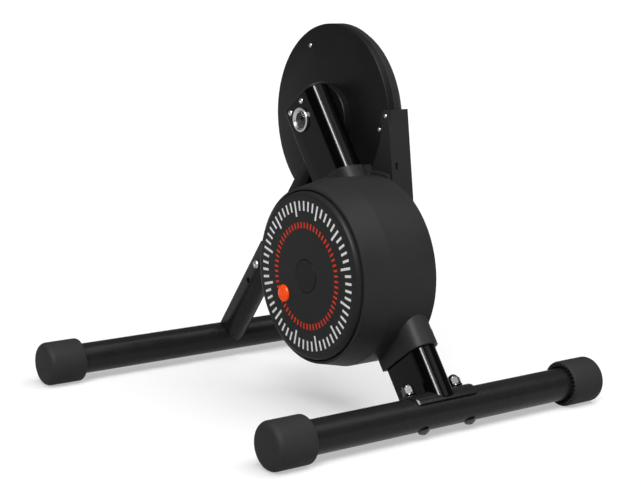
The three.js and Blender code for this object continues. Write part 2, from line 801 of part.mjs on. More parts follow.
// Brake: an iron core with poles inside the flywheel's rim, a coil on each pole, and its bracket
const brakeRight = flywheelRight - brakeInset;
const brakeLeft = brakeRight - brakeWidth;
const coreInner = flywheelHub + coreClearance;
const coreOuter = coreInner + coreRim;
const poleTip = flywheelRimInner - brakeAirGap;
const poleBlock = (half, bottom, top, left = brakeLeft, right = brakeRight) =>
  block([left, right], [drumPoint.y - half, drumPoint.y + half], [drumPoint.z + bottom, drumPoint.z + top]);
const pole = join(
  poleBlock(poleWidth / 2, coreOuter - 3, poleTip - poleShoe + 1),
  poleBlock(poleWidth, poleTip - poleShoe, poleTip + poleShoe).intersect(
    rod(poleTip, brakeLeft, brakeRight, drumPoint),
  ),
);
piece(
  "brake_core",
  join(
    ring(coreInner, coreOuter, brakeLeft, brakeRight, drumPoint, midFacets),
    ...around(pole, poleCount, drumPoint),
  ),
  castIron,
);
const coil = cut(
  poleBlock(
    poleWidth / 2 + coilWall,
    coreOuter + 1,
    poleTip - poleShoe - gap,
    brakeLeft - coilWall,
    brakeRight + coilWall,
  ),
  poleBlock(poleWidth / 2 + gap, 0, poleTip, brakeLeft - gap, brakeRight + gap),
);
around(coil, poleCount, drumPoint).forEach((made, i) => piece(`brake_coil_${i + 1}`, made, copper));
const bracketEnd = -postHalf - gap;
piece(
  "brake_bracket",
  turned(
    [
      [coreInner, brakeRight + gap],
      [coreOuter - 1, brakeRight + gap],
      [coreOuter - 1, bracketEnd - bracketFlangeThickness],
      [coreOuter + bracketFlange, bracketEnd - bracketFlangeThickness],
      [coreOuter + bracketFlange, bracketEnd],
      [coreInner, bracketEnd],
    ],
    drumPoint,
    midFacets,
  ),
  aluminium,
);

// Belt: one loop round both pulleys, with a little clearance to them
const toDrum = drumPoint.clone().sub(axlePoint);
const betweenCentres = toDrum.length();
const towardsDrum = Math.atan2(toDrum.z, toDrum.y);
const runAngle = (big, small) => Math.acos((big - small) / betweenCentres);
function loopShape(big, small) {
  const swing = runAngle(big, small);
  const shape = new THREE.Shape();
  const turn = 2 * Math.PI;
  shape.absarc(axlePoint.y, axlePoint.z, big, towardsDrum + swing, towardsDrum - swing + turn, false);
  shape.absarc(drumPoint.y, drumPoint.z, small, towardsDrum - swing, towardsDrum + swing, false);
  return shape;
}
const loopPlate = (big, small, x0, x1) => plate(loopShape(big, small), x0, x1);

// The same outline, sloping inwards by coverDraw from x0 to x1
function loopCrown(big, small, x0, x1) {
  const settings = {
    depth: 1,
    bevelThickness: x1 - x0,
    bevelSize: coverDraw,
    bevelOffset: -coverDraw,
    bevelSegments: 1,
    curveSegments: 10,
  };
  const geometry = new THREE.ExtrudeGeometry(loopShape(big, small), settings);
  const whole = solid(geometry, placed(unitY, unitZ, toRight, new THREE.Vector3(x0 - 1, 0, 0)));
  return whole.subtract(block([-through, x0 - 1], [-through, through], [-through, through]));
}
const bigWrap = pulleyRadius + beltLift;
const smallWrap = smallPulleyRadius + beltLift;
piece(
  "drive_belt",
  cut(
    loopPlate(bigWrap + beltThickness, smallWrap + beltThickness, beltLeft, beltRight),
    loopPlate(bigWrap, smallWrap, beltLeft - 1, beltRight + 1),
  ),
  beltRubber,
);

// Directions of a straight run: out from the loop, and down towards the drum
function straightRun(angle, sense) {
  const out = new THREE.Vector3(0, Math.cos(angle), Math.sin(angle));
  const down = new THREE.Vector3(0, sense * Math.sin(angle), -sense * Math.cos(angle));
  return (outwards, downwards) =>
    axlePoint.clone().addScaledVector(out, outwards).addScaledVector(down, downwards);
}

// Belt tensioner: an arm on a pin in the cover, with an idler inside the slack front run
const onSlack = straightRun(towardsDrum + runAngle(bigWrap, smallWrap), 1);
const slackLength = Math.sqrt(betweenCentres ** 2 - (bigWrap - smallWrap) ** 2);
const idlerOut = bigWrap - gap - idlerRadius;
const idlerPoint = onSlack(idlerOut, slackLength * idlerAlong);
const pivotPoint = onSlack(idlerOut - armInset, slackLength * idlerAlong - armReach);
const armLeft = coverFace + coverWall + gap;
const armRight = rimLeft - gap;
function tensionerArm() {
  const side = idlerPoint.clone().sub(pivotPoint).normalize().cross(toRight).multiplyScalar(armHalfWidth);
  const corner = (point, sign) => [point.y + sign * side.y, point.z + sign * side.z];
  const blade = polygon([
    corner(pivotPoint, 1),
    corner(pivotPoint, -1),
    corner(idlerPoint, -1),
    corner(idlerPoint, 1),
  ]);
  return join(
    plate(blade, armLeft, armRight),
    rod(armEye, armLeft, armRight, pivotPoint, smallFacets),
    rod(armHalfWidth, armLeft, armRight, idlerPoint, smallFacets),
    rod(idlerPin, armLeft, beltRight + runningGap, idlerPoint, smallFacets),
  );
}
const pivotHole = hole(pivotPin + gap, pivotPoint, smallFacets);
piece("tensioner_arm", cut(tensionerArm(), pivotHole), zinc);
piece(
  "idler_pulley",
  ring(idlerPin + gap, idlerRadius, beltLeft - gap, beltRight + gap, idlerPoint, midFacets),
  blackPlastic,
);
piece(
  "tensioner_pin",
  join(
    rod(pivotPin, coverFace + gap, armRight + gap + pivotHead, pivotPoint, smallFacets),
    rod(pivotHeadRadius, armRight + gap, armRight + gap + pivotHead, pivotPoint, smallFacets),
  ),
  zinc,
);

// Belt cover: an inner and an outer pan with a tail down to the small pulley
const coverInside = bigWrap + beltThickness + beltRoom;
const coverRadius = coverInside + coverWall;
const coverTailInside = smallWrap + beltThickness + tailRoom;
const coverTailRadius = coverTailInside + coverWall;
const coverSplit = coverFace + coverRim / 2;
const rimEnd = coverFace + coverRim;
const coverBack = coverFace + coverDepth;
const coverScrewPoints = coverScrewAngles.map((angle) => {
  const reach = new THREE.Vector3(0, Math.cos(rad(angle)), Math.sin(rad(angle)));
  return axlePoint.clone().addScaledVector(reach, coverRadius - coverScrewInset);
});
const onGuard = straightRun(towardsDrum - runAngle(coverRadius, coverTailRadius), -1);
const guardScrewPoint = onGuard(coverRadius - guardScrewInset, guardScrewDown);
const screwPoints = [...coverScrewPoints, guardScrewPoint];
const coverScrewEnd = coverFace + coverWall + coverScrewDepth;
const guardScrewBoss = rod(
  guardScrewBossRadius,
  coverFace + 1,
  coverScrewEnd,
  guardScrewPoint,
  smallFacets,
);
piece(
  "belt_cover_inner",
  cut(
    join(
      cut(
        loopPlate(coverRadius, coverTailRadius, coverFace, coverSplit),
        loopPlate(coverInside, coverTailInside, coverFace + coverWall, coverSplit + 1),
      ),
      rod(hubBossRadius, postHalf + gap, coverFace + 1, axlePoint),
      rod(tailBossRadius, housingBack + gap, coverFace + 1, drumPoint),
      guardScrewBoss.intersect(loopPlate(coverRadius, coverTailRadius, coverFace, coverSplit)),
    ),
    hole(axleSeat, axlePoint, midFacets),
    hole(shaftRadius + runningGap, drumPoint, midFacets),
    pivotHole,
    ...screwPoints.map((point) => hole(coverScrewRadius + gap, point, smallFacets)),
  ),
  blackPlastic,
);
piece(
  "belt_cover_outer",
  cut(
    join(
      loopPlate(coverRadius, coverTailRadius, coverSplit + gap, rimEnd),
      loopCrown(coverRadius, coverTailRadius, rimEnd, coverBack),
    ),
    loopPlate(coverInside, coverTailInside, coverSplit, rimEnd - coverWall),
    loopCrown(coverInside, coverTailInside, rimEnd - coverWall, coverBack - coverWall),
    hole(hubOuter + runningGap, axlePoint),
  ),
  blackPlastic,
);
const coverScrew = (point, seat) =>
  join(
    rod(coverScrewRadius, seat - gap - coverScrewHead / 2, coverScrewEnd, point, smallFacets),
    rod(coverScrewHeadRadius, seat - gap - coverScrewHead, seat - gap, point, smallFacets),
  );
coverScrewPoints.forEach((point, i) => piece(`cover_screw_${i + 1}`, coverScrew(point, coverFace), zinc));

// Belt guard: a wall down the back of the cover, with a lip over its left face that tapers to the drum
const guardInner = coverRadius + guardClearance;
const guardOuter = guardInner + guardWall;
const guardLeft = coverFace - gap - guardLip;
const guardDown = onGuard(0, 1).sub(axlePoint).z;
const guardOut = onGuard(1, 0).sub(axlePoint).z;
const flat = (point) => [point.y, point.z];
const guardAt = (out, aboveAxle) => flat(onGuard(out, (aboveAxle - guardOut * out) / guardDown));
const guardFoot = Math.sqrt(betweenCentres ** 2 - (coverRadius - coverTailRadius) ** 2) + coverWall;
const guardWallOutline = polygon([
  guardAt(guardOuter, guardAboveAxle),
  guardAt(guardInner, guardAboveAxle),
  flat(onGuard(guardInner, guardFoot)),
  flat(onGuard(guardOuter, guardFoot)),
]);
const lipOutline = polygon([
  guardAt(guardOuter, guardNotchAboveAxle),
  guardAt(guardOuter - 1, guardAboveAxle),
  ...guardLipTop.map(([inwards, down]) => guardAt(coverRadius - inwards, guardAboveAxle - down)),
  ...guardLipSide.map(([inwards, down]) => flat(onGuard(coverRadius - inwards, down))),
  flat(onGuard(guardOuter, guardLipEnd)),
]);
const rearOfAxle = [axlePoint.y - through, axlePoint.y];
const above = (height) => axleHeight + height;
const bendRelief = block([-through, coverFace + gap], rearOfAxle, [above(guardNotchAboveAxle), through]);
const slot = block(
  [coverFace + slotInset, coverFace + slotInset + slotWidth],
  [axlePoint.y - through, onGuard(guardInner - coverWall, 0).y],
  [above(-slotBelowAxle), above(slotLength - slotBelowAxle)],
);
piece(
  "belt_guard",
  cut(
    join(
      cut(plate(guardWallOutline, guardLeft, coverBack), bendRelief),
      plate(lipOutline, guardLeft, guardLeft + guardLip),
    ),
    slot,
    hole(coverScrewRadius + gap, guardScrewPoint, smallFacets),
  ),
  blackPlastic,
);
piece("guard_screw", coverScrew(guardScrewPoint, guardLeft), zinc);

// Drum housing: a pan open to the left, with a sleeve that wraps the post above and below
const frontCoverRadius = drumLipRadius - frontCoverInset;
const drumInside = drumRadius - drumWall;
const drumBackFloor = housingBack - drumWall;
const drumCreaseAt = drumFront + drumTaperDepth;
const inletPoint = drumPoint
  .clone()
  .addScaledVector(new THREE.Vector3(0, Math.cos(rad(inletAngle)), Math.sin(rad(inletAngle))), inletAt);
const boardCentre = -drumInFront - boardFromPost;
const standoffs = [[-1, 1], [1, -1]].map(([a, b]) => {
  const along = (a * boardLength) / 3;
  const point = onTube(post, along - drumDown, boardCentre + (b * boardWidth) / 3);
  return rod(standoffRadius, drumBackFloor - standoffLength, drumBackFloor + 1, point, smallFacets);
});
const drumOutside = turned(
  [
    [0, drumFront],
    [drumLipRadius, drumFront],
    [drumRadius - drumCrease, drumCreaseAt - drumCreaseDepth],
    [drumRadius, drumCreaseAt],
    [drumRadius, housingBack - drumEdge],
    [drumRadius - drumEdge, housingBack],
    [0, housingBack],
  ],
  drumPoint,
);
const drumHollow = turned(
  [
    [0, drumFront - 1],
    [frontCoverRadius + frontCoverRebate, drumFront - 1],
    [frontCoverRadius + frontCoverRebate, drumFront + drumLip],
    [drumLipRadius - drumWall, drumFront + drumLip],
    [drumInside, drumCreaseAt],
    [drumInside, drumBackFloor],
    [0, drumBackFloor],
  ],
  drumPoint,
);
// Shoulder and collar side: they close the gap to the belt cover, within its outline and clear of the guard
const bridgeRight = coverFace - gap;
const shoulder = turned(
  [
    [drumInside, housingBack - drumEdge],
    [drumRadius + shoulderRise[0], housingBack - drumEdge],
    [drumRadius + shoulderRise[1], bridgeRight],
    [drumInside, bridgeRight],
  ],
  drumPoint,
);
const collarSide = leaningBlock(
  post,
  [0, bridgeRight],
  [-drumDown, -collarTop - collarDip],
  [-postFront - collarThickness, collarReach],
).subtract(rod(drumInside, -through, bridgeRight + 1, drumPoint));
const lipSpace = plate(lipOutline, guardLeft - gap, coverFace);
const lipMargin = onGuard(-gap, 0).sub(axlePoint);
const bridge = cut(
  join(shoulder, collarSide).intersect(loopPlate(coverRadius, coverTailRadius, 0, coverFace)),
  lipSpace,
  lipSpace.translate(lipMargin.x, lipMargin.y, lipMargin.z),
);
piece(
  "drum_housing",
  cut(
    join(
      cut(join(drumOutside, postPrism(collarThickness, -collarTop - collarLength, -collarTop)), drumHollow),
      ...standoffs,
      bridge,
    ),
    postPrism(gap, -through, 0),
    hole(shaftRadius + runningGap, drumPoint, midFacets),
    boxRound(inletPoint, inletHalf + gap, 0, through),
  ),
  blackPlastic,
);

// Front cover of the drum, a shallow pan with a round nose, held behind the housing's lip
const lensPoint = drumPoint
  .clone()
  .addScaledVector(new THREE.Vector3(0, Math.cos(rad(lensAngle)), Math.sin(rad(lensAngle))), lensAt);
const noseArc = (radius, angles) =>
  angles.map((angle) => [
    frontCoverRadius - frontCoverRounding + radius * Math.sin(rad(angle)),
    frontCoverFace + frontCoverRounding - radius * Math.cos(rad(angle)),
  ]);
const flangeFace = drumFront + drumLip + gap;
const flangeRadius = drumLipRadius - drumWall - gap;
piece(
  "drum_front_cover",
  cut(
    turned(
      [
        [0, frontCoverFace],
        ...noseArc(frontCoverRounding, [0, 45, 90]),
        [frontCoverRadius, flangeFace],
        [flangeRadius, flangeFace],
        [flangeRadius, flangeFace + frontCoverWall],
        [frontCoverRadius - frontCoverWall, flangeFace + frontCoverWall],
        ...noseArc(frontCoverRounding - frontCoverWall, [90, 45, 0]),
        [0, frontCoverFace + frontCoverWall],
      ],
      drumPoint,
    ),
    rod(hubCapRadius + gap, -through, drumFront, drumPoint),
    rod(lensRadius + gap, -through, drumFront, lensPoint, midFacets),
  ),
  blackPlastic,
);
piece(
  "hub_cap",
  rod(hubCapRadius, frontCoverFace - gap, frontCoverFace - gap + hubCapThickness, drumPoint),
  blackPlastic,
);
const dome = [0, 25, 50, 75].map((angle) => [
  lensRadius * Math.sin(rad(angle)),
  frontCoverFace - lensHeight * Math.cos(rad(angle)),
]);
piece(
  "status_lens",
  turned(
    [
      ...dome,
      [lensRadius, frontCoverFace],
      [lensRadius, frontCoverFace + frontCoverWall],
      [0, frontCoverFace + frontCoverWall],
    ],
    lensPoint,
    midFacets,
  ),
  orange,
);

// Control board on two standoffs, and the inlet for the power supply
const boardRight = drumBackFloor - standoffLength - gap;
piece(
  "control_board",
  leaningBlock(
    post,
    [boardRight - boardThickness, boardRight],
    [-drumDown - boardLength / 2, -drumDown + boardLength / 2],
    [boardCentre - boardWidth / 2, boardCentre + boardWidth / 2],
  ),
  solderMask,
);
const inletFace = housingBack + gap + inletFlangeThickness;
piece(
  "power_inlet",
  cut(
    join(
      boxRound(inletPoint, inletHalf, inletFace - inletDepth - 1, inletFace),
      boxRound(inletPoint, inletHalf + inletFlange, housingBack + gap, inletFace),
    ),
    rod(inletBore, inletFace - inletDepth, inletFace + 1, inletPoint, smallFacets),
  ),
  blackPlastic,
);

export default trainer;
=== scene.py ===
"""A direct drive bike trainer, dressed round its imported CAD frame. Everything is in metres."""
import math

import bmesh
import bpy
from mathutils import Matrix, Vector


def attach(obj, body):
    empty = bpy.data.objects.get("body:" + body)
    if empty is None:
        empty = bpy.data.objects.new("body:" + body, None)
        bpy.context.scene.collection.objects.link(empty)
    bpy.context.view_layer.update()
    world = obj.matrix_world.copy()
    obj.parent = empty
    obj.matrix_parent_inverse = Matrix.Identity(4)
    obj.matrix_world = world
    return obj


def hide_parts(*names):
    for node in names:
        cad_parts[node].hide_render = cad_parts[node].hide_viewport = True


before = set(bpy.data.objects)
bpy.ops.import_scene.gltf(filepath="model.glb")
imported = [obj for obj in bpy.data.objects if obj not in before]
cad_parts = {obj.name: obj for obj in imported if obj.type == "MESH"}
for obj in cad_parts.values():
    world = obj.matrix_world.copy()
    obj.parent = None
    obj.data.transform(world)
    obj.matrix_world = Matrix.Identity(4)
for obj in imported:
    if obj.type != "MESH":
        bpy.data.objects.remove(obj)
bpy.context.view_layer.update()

# Camera: it stands to the rear left of the trainer, at about the height of the top of the belt cover, and
# looks a little down along the length of the drum. The shift is the small offset of the photograph's centre.
CAMERA_PLACE = (-1.0652, -1.4435, 0.50175)
CAMERA_PAN, CAMERA_TILT, CAMERA_ROLL = math.radians(-36.11), math.radians(80.05), math.radians(0.26)
camera = bpy.data.objects.new("camera", bpy.data.cameras.new("camera"))
bpy.context.scene.collection.objects.link(camera)
camera.matrix_world = (
    Matrix.Translation(CAMERA_PLACE)
    @ Matrix.Rotation(CAMERA_PAN, 4, "Z")
    @ Matrix.Rotation(CAMERA_TILT, 4, "X")
    @ Matrix.Rotation(CAMERA_ROLL, 4, "Z")
)
camera.data.sensor_width = 36
camera.data.lens = 82.486
camera.data.shift_x = 0.00393
camera.data.shift_y = 0.00064
camera.data.clip_end = 300
bpy.context.scene.camera = camera


# Rear crossbar: a round steel tube, 39 mm across, powder-coated satin black. Two bolts pass up through it,
# leaning with the post, and its ends are pushed into rubber caps.
def deselect():
    if bpy.context.mode != "OBJECT":
        bpy.ops.object.mode_set(mode="OBJECT")
    bpy.ops.object.select_all(action="DESELECT")


def select(piece):
    deselect()
    bpy.context.view_layer.objects.active = piece
    piece.select_set(True)


def settle(piece, place=(0, 0, 0), turn=(0, 0, 0)):
    """Moves a piece that was shaped upright at the origin to its place, and keeps the place in its mesh."""
    select(piece)
    bpy.ops.object.transform_apply(location=True, rotation=True, scale=True)
    piece.rotation_euler = turn
    piece.location = place
    bpy.ops.object.transform_apply(location=True, rotation=True, scale=True)
    return piece


SAME_POINT = 1e-5


def clean(piece):
    """Merges doubled points, closes what a cut left open and turns every face outwards."""
    select(piece)
    bpy.ops.object.mode_set(mode="EDIT")
    bpy.ops.mesh.select_mode(type="VERT")
    bpy.ops.mesh.select_all(action="SELECT")
    bpy.ops.mesh.dissolve_degenerate(threshold=SAME_POINT)
    bpy.ops.mesh.remove_doubles(threshold=SAME_POINT)
    bpy.ops.mesh.select_all(action="DESELECT")
    bpy.ops.mesh.select_non_manifold(
        extend=False, use_wire=False, use_multi_face=False, use_non_contiguous=False, use_verts=False)
    bpy.ops.mesh.fill_holes(sides=0)
    bpy.ops.mesh.select_all(action="SELECT")
    bpy.ops.mesh.normals_make_consistent(inside=False)
    bpy.ops.object.mode_set(mode="OBJECT")
    return piece


def turned(name, profile, place=(0, 0, 0), turn=(0, 0, 0), steps=96):
    """A round piece: a circle that is drawn up along its axis and resized at each (radius, height)."""
    deselect()
    radii = [max(radius, 1e-6) for radius, _ in profile]
    bpy.ops.mesh.primitive_circle_add(vertices=steps, radius=radii[0], location=(0, 0, profile[0][1]))
    piece = bpy.context.object
    piece.name = name
    bpy.ops.object.mode_set(mode="EDIT")
    bpy.ops.mesh.select_mode(type="VERT")
    bpy.ops.mesh.select_all(action="SELECT")
    for i in range(1, len(profile)):
        rise = profile[i][1] - profile[i - 1][1]
        scale = radii[i] / radii[i - 1]
        bpy.ops.mesh.extrude_region_move(TRANSFORM_OT_translate={"value": (0, 0, rise)})
        bpy.ops.transform.resize(value=(scale, scale, 1), center_override=(0, 0, profile[i][1]))
    return clean(settle(piece, place, turn))


def modify(piece, kind, **values):
    """Adds a modifier with these values and applies it."""
    select(piece)
    modifier = piece.modifiers.new(kind.lower(), kind)
    for key, value in values.items():
        setattr(modifier, key, value)
    bpy.ops.object.modifier_apply(modifier=modifier.name)
    return piece


def carve(piece, *tools, operation="DIFFERENCE"):
    """Cuts each tool out of the piece, or joins or intersects them, and throws the tool away."""
    for tool in tools:
        modify(piece, "BOOLEAN", object=tool, operation=operation, solver="EXACT")
        bpy.data.objects.remove(tool)
    return piece


def drill(piece, radius, at, turn, length=0.3, steps=32):
    """Drills a round hole through the piece."""
    deselect()
    bpy.ops.mesh.primitive_cylinder_add(vertices=steps, radius=radius, depth=length)
    return carve(piece, settle(bpy.context.object, at, turn))


def smooth(piece, angle=32):
    """Closes a finished shape and smooths it across edges up to the angle."""
    select(clean(piece))
    bpy.ops.object.shade_smooth_by_angle(angle=math.radians(angle))
    return piece


def fit(piece, body, slot, material, *nodes):
    """Gives the piece its finish, the CAD body that it rides on and the nodes that it stands for."""
    piece.data.materials.clear()
    piece.data.materials.append(material)
    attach(piece, body)
    if nodes:
        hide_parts(*nodes)
    return piece


def group(name, inputs, outputs):
    """An empty shader node group with named sockets: {name: (kind, default)}."""
    tree = bpy.data.node_groups.new(name, "ShaderNodeTree")
    for label, (kind, default) in inputs.items():
        socket = tree.interface.new_socket(label, in_out="INPUT", socket_type=kind)
        socket.default_value = default
    for label, kind in outputs.items():
        tree.interface.new_socket(label, in_out="OUTPUT", socket_type=kind)
    return tree, tree.nodes.new("NodeGroupInput"), tree.nodes.new("NodeGroupOutput")


def node(tree, kind, links=(), **values):
    """Adds a node; `links` gives its sockets other nodes' sockets or plain values."""
    made = tree.nodes.new("ShaderNode" + kind)
    for key, value in values.items():
        setattr(made, key, value)
    for label, source in dict(links).items():
        socket = made.inputs[label]
        if isinstance(source, bpy.types.NodeSocket):
            tree.links.new(source, socket)
        else:
            socket.default_value = source
    return made


def maths(tree, operation, *values):
    return node(tree, "Math", dict(enumerate(values)), operation=operation).outputs[0]


NUMBER, VECTOR = "NodeSocketFloat", "NodeSocketVector"


def grain_group():
    """Pebbled surface: fine bumps for the normal, and slow patches for colour and roughness."""
    tree, given, result = group(
        "surface grain",
        {"Grain Size": (NUMBER, 0.0006), "Depth": (NUMBER, 0.00002), "Patch Size": (NUMBER, 0.03)},
        {"Normal": VECTOR, "Patches": NUMBER},
    )
    where = node(tree, "TexCoord").outputs["Object"]
    fine = maths(tree, "DIVIDE", 1.0, given.outputs["Grain Size"])
    coarse = maths(tree, "DIVIDE", 1.0, given.outputs["Patch Size"])
    pebbles = node(tree, "TexNoise", {"Vector": where, "Scale": fine, "Detail": 2.0, "Roughness": 0.6})
    patches = node(tree, "TexNoise", {"Vector": where, "Scale": coarse, "Detail": 4.0, "Roughness": 0.55})
    bump = node(tree, "Bump", {"Height": pebbles.outputs["Fac"], "Distance": given.outputs["Depth"]})
    tree.links.new(bump.outputs["Normal"], result.inputs["Normal"])
    tree.links.new(patches.outputs["Fac"], result.inputs["Patches"])
    return tree


surface_grain = grain_group()


def finish(name, dark, light, rough, grain=0.0006, depth=0.00002, patch=0.03, **plain):
    """A material whose colour runs between two tones and whose roughness between two values, in patches."""
    material = bpy.data.materials.new(name)
    material.use_nodes = True
    tree = material.node_tree
    shader = tree.nodes["Principled BSDF"]
    surface = tree.nodes.new("ShaderNodeGroup")
    surface.node_tree = surface_grain
    surface.inputs["Grain Size"].default_value = grain
    surface.inputs["Depth"].default_value = depth
    surface.inputs["Patch Size"].default_value = patch
    patches = surface.outputs["Patches"]
    tone = node(tree, "MixRGB", {"Fac": patches, "Color1": (*dark, 1), "Color2": (*light, 1)}, name="tone")
    sheen = node(
        tree,
        "MapRange",
        {"Value": patches, "From Min": 0.3, "From Max": 0.7, "To Min": rough[0], "To Max": rough[1]},
    )
    tree.links.new(tone.outputs[0], shader.inputs["Base Color"])
    tree.links.new(sheen.outputs[0], shader.inputs["Roughness"])
    tree.links.new(surface.outputs["Normal"], shader.inputs["Normal"])
    for label, value in plain.items():
        shader.inputs[label.replace("_", " ")].default_value = value
    return material


powder_coat = finish(
    "satin powder coat",
    (0.013, 0.013, 0.0133),
    (0.018, 0.018, 0.0184),
    (0.24, 0.32),
    grain=0.0016,
    depth=0.00001,
    Specular_IOR_Level=0.11,
)

FLAT = (0, math.pi / 2, 0)
REAR_Y, FRONT_Y, FOOT_Z = -0.222, 0.222, 0.0275
REAR_FOOT, FRONT_FOOT = (0, REAR_Y, FOOT_Z), (0, FRONT_Y, FOOT_Z)
TUBE_OUTER, TUBE_INNER = 0.0195, 0.017
POST_LEAN = math.radians(53.846)
POST_TURN = (POST_LEAN - math.pi / 2, 0, 0)
POST_UP = Vector((0, math.cos(POST_LEAN), math.sin(POST_LEAN)))
REAR_TUBE_END = 0.231
BOLT_X, BOLT_HOLE = 0.03455, 0.0043


def tube_section(inner, outer, end):
    """The closed section of a plain tube that reaches as far to the left as to the right."""
    return [(inner, -end), (outer, -end), (outer, end), (inner, end), (inner, -end)]


def foot_tube(name, end, y):
    return turned(name, tube_section(TUBE_INNER, TUBE_OUTER, end), (0, y, FOOT_Z), FLAT)


def drill_bolt_holes(piece, length):
    for side in (-1, 1):
        drill(piece, BOLT_HOLE, (side * BOLT_X, REAR_Y, FOOT_Z), POST_TURN, length)


rear_tube = foot_tube("rear_foot_tube", REAR_TUBE_END, REAR_Y)
drill_bolt_holes(rear_tube, length=0.3)
fit(smooth(rear_tube), "frame", "black_paint", powder_coat, "rear_crossbar")

# Front crossbar: the same steel tube with the same powder coat, longer and without holes. The leg's coped
# end is welded down on its middle.
FRONT_TUBE_END = 0.272
front_tube = foot_tube("front_foot_tube", FRONT_TUBE_END, FRONT_Y)
fit(smooth(front_tube), "frame", "black_paint", powder_coat, "front_crossbar")

# Foot caps: thick cups of moulded rubber with a rounded closed end and a softly rounded mouth. Short
# notches round the mouth let the cup stretch over the tube.
rubber = finish(
    "moulded rubber",
    (0.026, 0.026, 0.0265),
    (0.034, 0.034, 0.0346),
    (0.6, 0.72),
    grain=0.0009,
    depth=0.00006,
    Specular_IOR_Level=0.08,
)


def rounding(radius, height, size, start, end, steps=6):
    """Points of a round edge of `size` about (radius, height): 0 is below it, 90 outside and 180 above."""
    angles = [math.radians(start + (end - start) * i / steps) for i in range(steps + 1)]
    return [(radius + size * math.sin(a), height - size * math.cos(a)) for a in angles]


CAP_RADIUS, CAP_LENGTH, CAP_BORE, CAP_FLOOR = 0.0275, 0.051, 0.0198, 0.0407
CAP_END, CAP_MOUTH, CAP_RECESS = 0.0085, 0.0036, 0.0218
CAP_NOTCHES, NOTCH_PLACE, NOTCH_SIZE = 30, (0.023, 0, 0.003), (0.0046, 0.0025, 0.0072)
REAR_CAP_END, FRONT_CAP_END = 0.241, 0.282


def foot_cap(name, x_end, y, sign, node_name):
    profile = [(0, CAP_FLOOR), (CAP_BORE, CAP_FLOOR), (CAP_BORE, 0.0042)]
    profile += [(CAP_RECESS, 0.0038), (CAP_RECESS, 0.0005)]
    profile += rounding(CAP_RADIUS - CAP_MOUTH, CAP_MOUTH, CAP_MOUTH, 0, 90)
    profile += rounding(CAP_RADIUS - CAP_END, CAP_LENGTH - CAP_END, CAP_END, 90, 180, 8)
    cap = turned(name, profile + [(0, CAP_LENGTH)], steps=120)
    deselect()
    bpy.ops.mesh.primitive_cube_add(size=1, location=NOTCH_PLACE)
    notch = bpy.context.object
    notch.scale = NOTCH_SIZE
    settle(notch)
    bpy.ops.object.mode_set(mode="EDIT")
    bpy.ops.mesh.select_all(action="SELECT")
    last = 2 * math.pi * (CAP_NOTCHES - 1) / CAP_NOTCHES
    bpy.ops.mesh.spin(steps=CAP_NOTCHES - 1, dupli=True, angle=last, center=(0, 0, 0), axis=(0, 0, 1))
    carve(cap, clean(notch))
    settle(cap, (x_end - sign * CAP_LENGTH, y, FOOT_Z), (0, sign * math.pi / 2, 0))
    return fit(smooth(cap, 40), "frame", "rubber", rubber, node_name)


for side, sign in (("left", -1), ("right", 1)):
    foot_cap(f"rear_rubber_cap_{side}", sign * REAR_CAP_END, REAR_Y, sign, f"rear_foot_cap_{side}")
    foot_cap(f"front_rubber_cap_{side}", sign * FRONT_CAP_END, FRONT_Y, sign, f"front_foot_cap_{side}")

# Saddle plate: 3 mm steel bent round the top of the rear tube, with rounded corners, welded under the post
# and painted with it.
SADDLE_INNER, SADDLE_OUTER, SADDLE_END = 0.0198, 0.0228, 0.046
SADDLE_REACH = SADDLE_OUTER * math.sin(math.radians(77))
SADDLE_BOTTOM, SADDLE_CORNER = 0.0049, 0.009


def pick(piece, kind, test):
    """Enters edit mode with just the edges or faces selected that pass the test."""
    select(piece)
    bpy.ops.object.mode_set(mode="EDIT")
    bpy.ops.mesh.select_mode(type=kind)
    bpy.ops.mesh.select_all(action="DESELECT")
    mesh = bmesh.from_edit_mesh(piece.data)
    for part in mesh.edges if kind == "EDGE" else mesh.faces:
        if test(part):
            part.select_set(True)
    mesh.select_flush_mode()
    bmesh.update_edit_mesh(piece.data)


def upright(edge):
    """Whether an edge runs along Z."""
    a, b = (vertex.co for vertex in edge.verts)
    return abs(a.x - b.x) + abs(a.y - b.y) < 1e-6


def brick(name, low, high):
    """A block between two corners."""
    deselect()
    bpy.ops.mesh.primitive_cube_add(size=1, location=[(a + b) / 2 for a, b in zip(low, high)])
    piece = bpy.context.object
    piece.name = name
    piece.scale = [b - a for a, b in zip(low, high)]
    return settle(piece)


saddle_section = tube_section(SADDLE_INNER, SADDLE_OUTER, SADDLE_END)
saddle = turned("saddle", saddle_section, REAR_FOOT, FLAT, steps=128)
blank = brick("saddle_blank", (-SADDLE_END, -SADDLE_REACH, SADDLE_BOTTOM), (SADDLE_END, SADDLE_REACH, 0.05))
pick(blank, "EDGE", upright)
bpy.ops.mesh.bevel(offset=SADDLE_CORNER, segments=8, affect="EDGES")
settle(blank, REAR_FOOT, POST_TURN)
carve(saddle, blank, operation="INTERSECT")
drill_bolt_holes(saddle, length=0.08)
modify(saddle, "BEVEL", width=0.0006, segments=2, limit_method="ANGLE", angle_limit=math.radians(50))
fit(smooth(saddle), "frame", "black_paint", powder_coat, "saddle_plate")

# Foot bolts: black-plated M8 button heads under the rear tube, each with a washer and a dome nut on top of
# the saddle. The nuts' corners are chamfered.
black_plating = finish(
    "black plating",
    (0.006, 0.006, 0.0062),
    (0.012, 0.012, 0.0124),
    (0.14, 0.22),
    grain=0.0012,
    depth=0.000006,
    patch=0.005,
    Specular_IOR_Level=0.6,
)
zinc = finish(
    "bright zinc",
    (0.3, 0.305, 0.315),
    (0.4, 0.405, 0.415),
    (0.34, 0.46),
    grain=0.0012,
    depth=0.00001,
    patch=0.006,
    Metallic=1.0,
)


UNMOVED = (0, 0, 0)
NUT_ACROSS, NUT_CHAMFER = 0.013, 0.0009


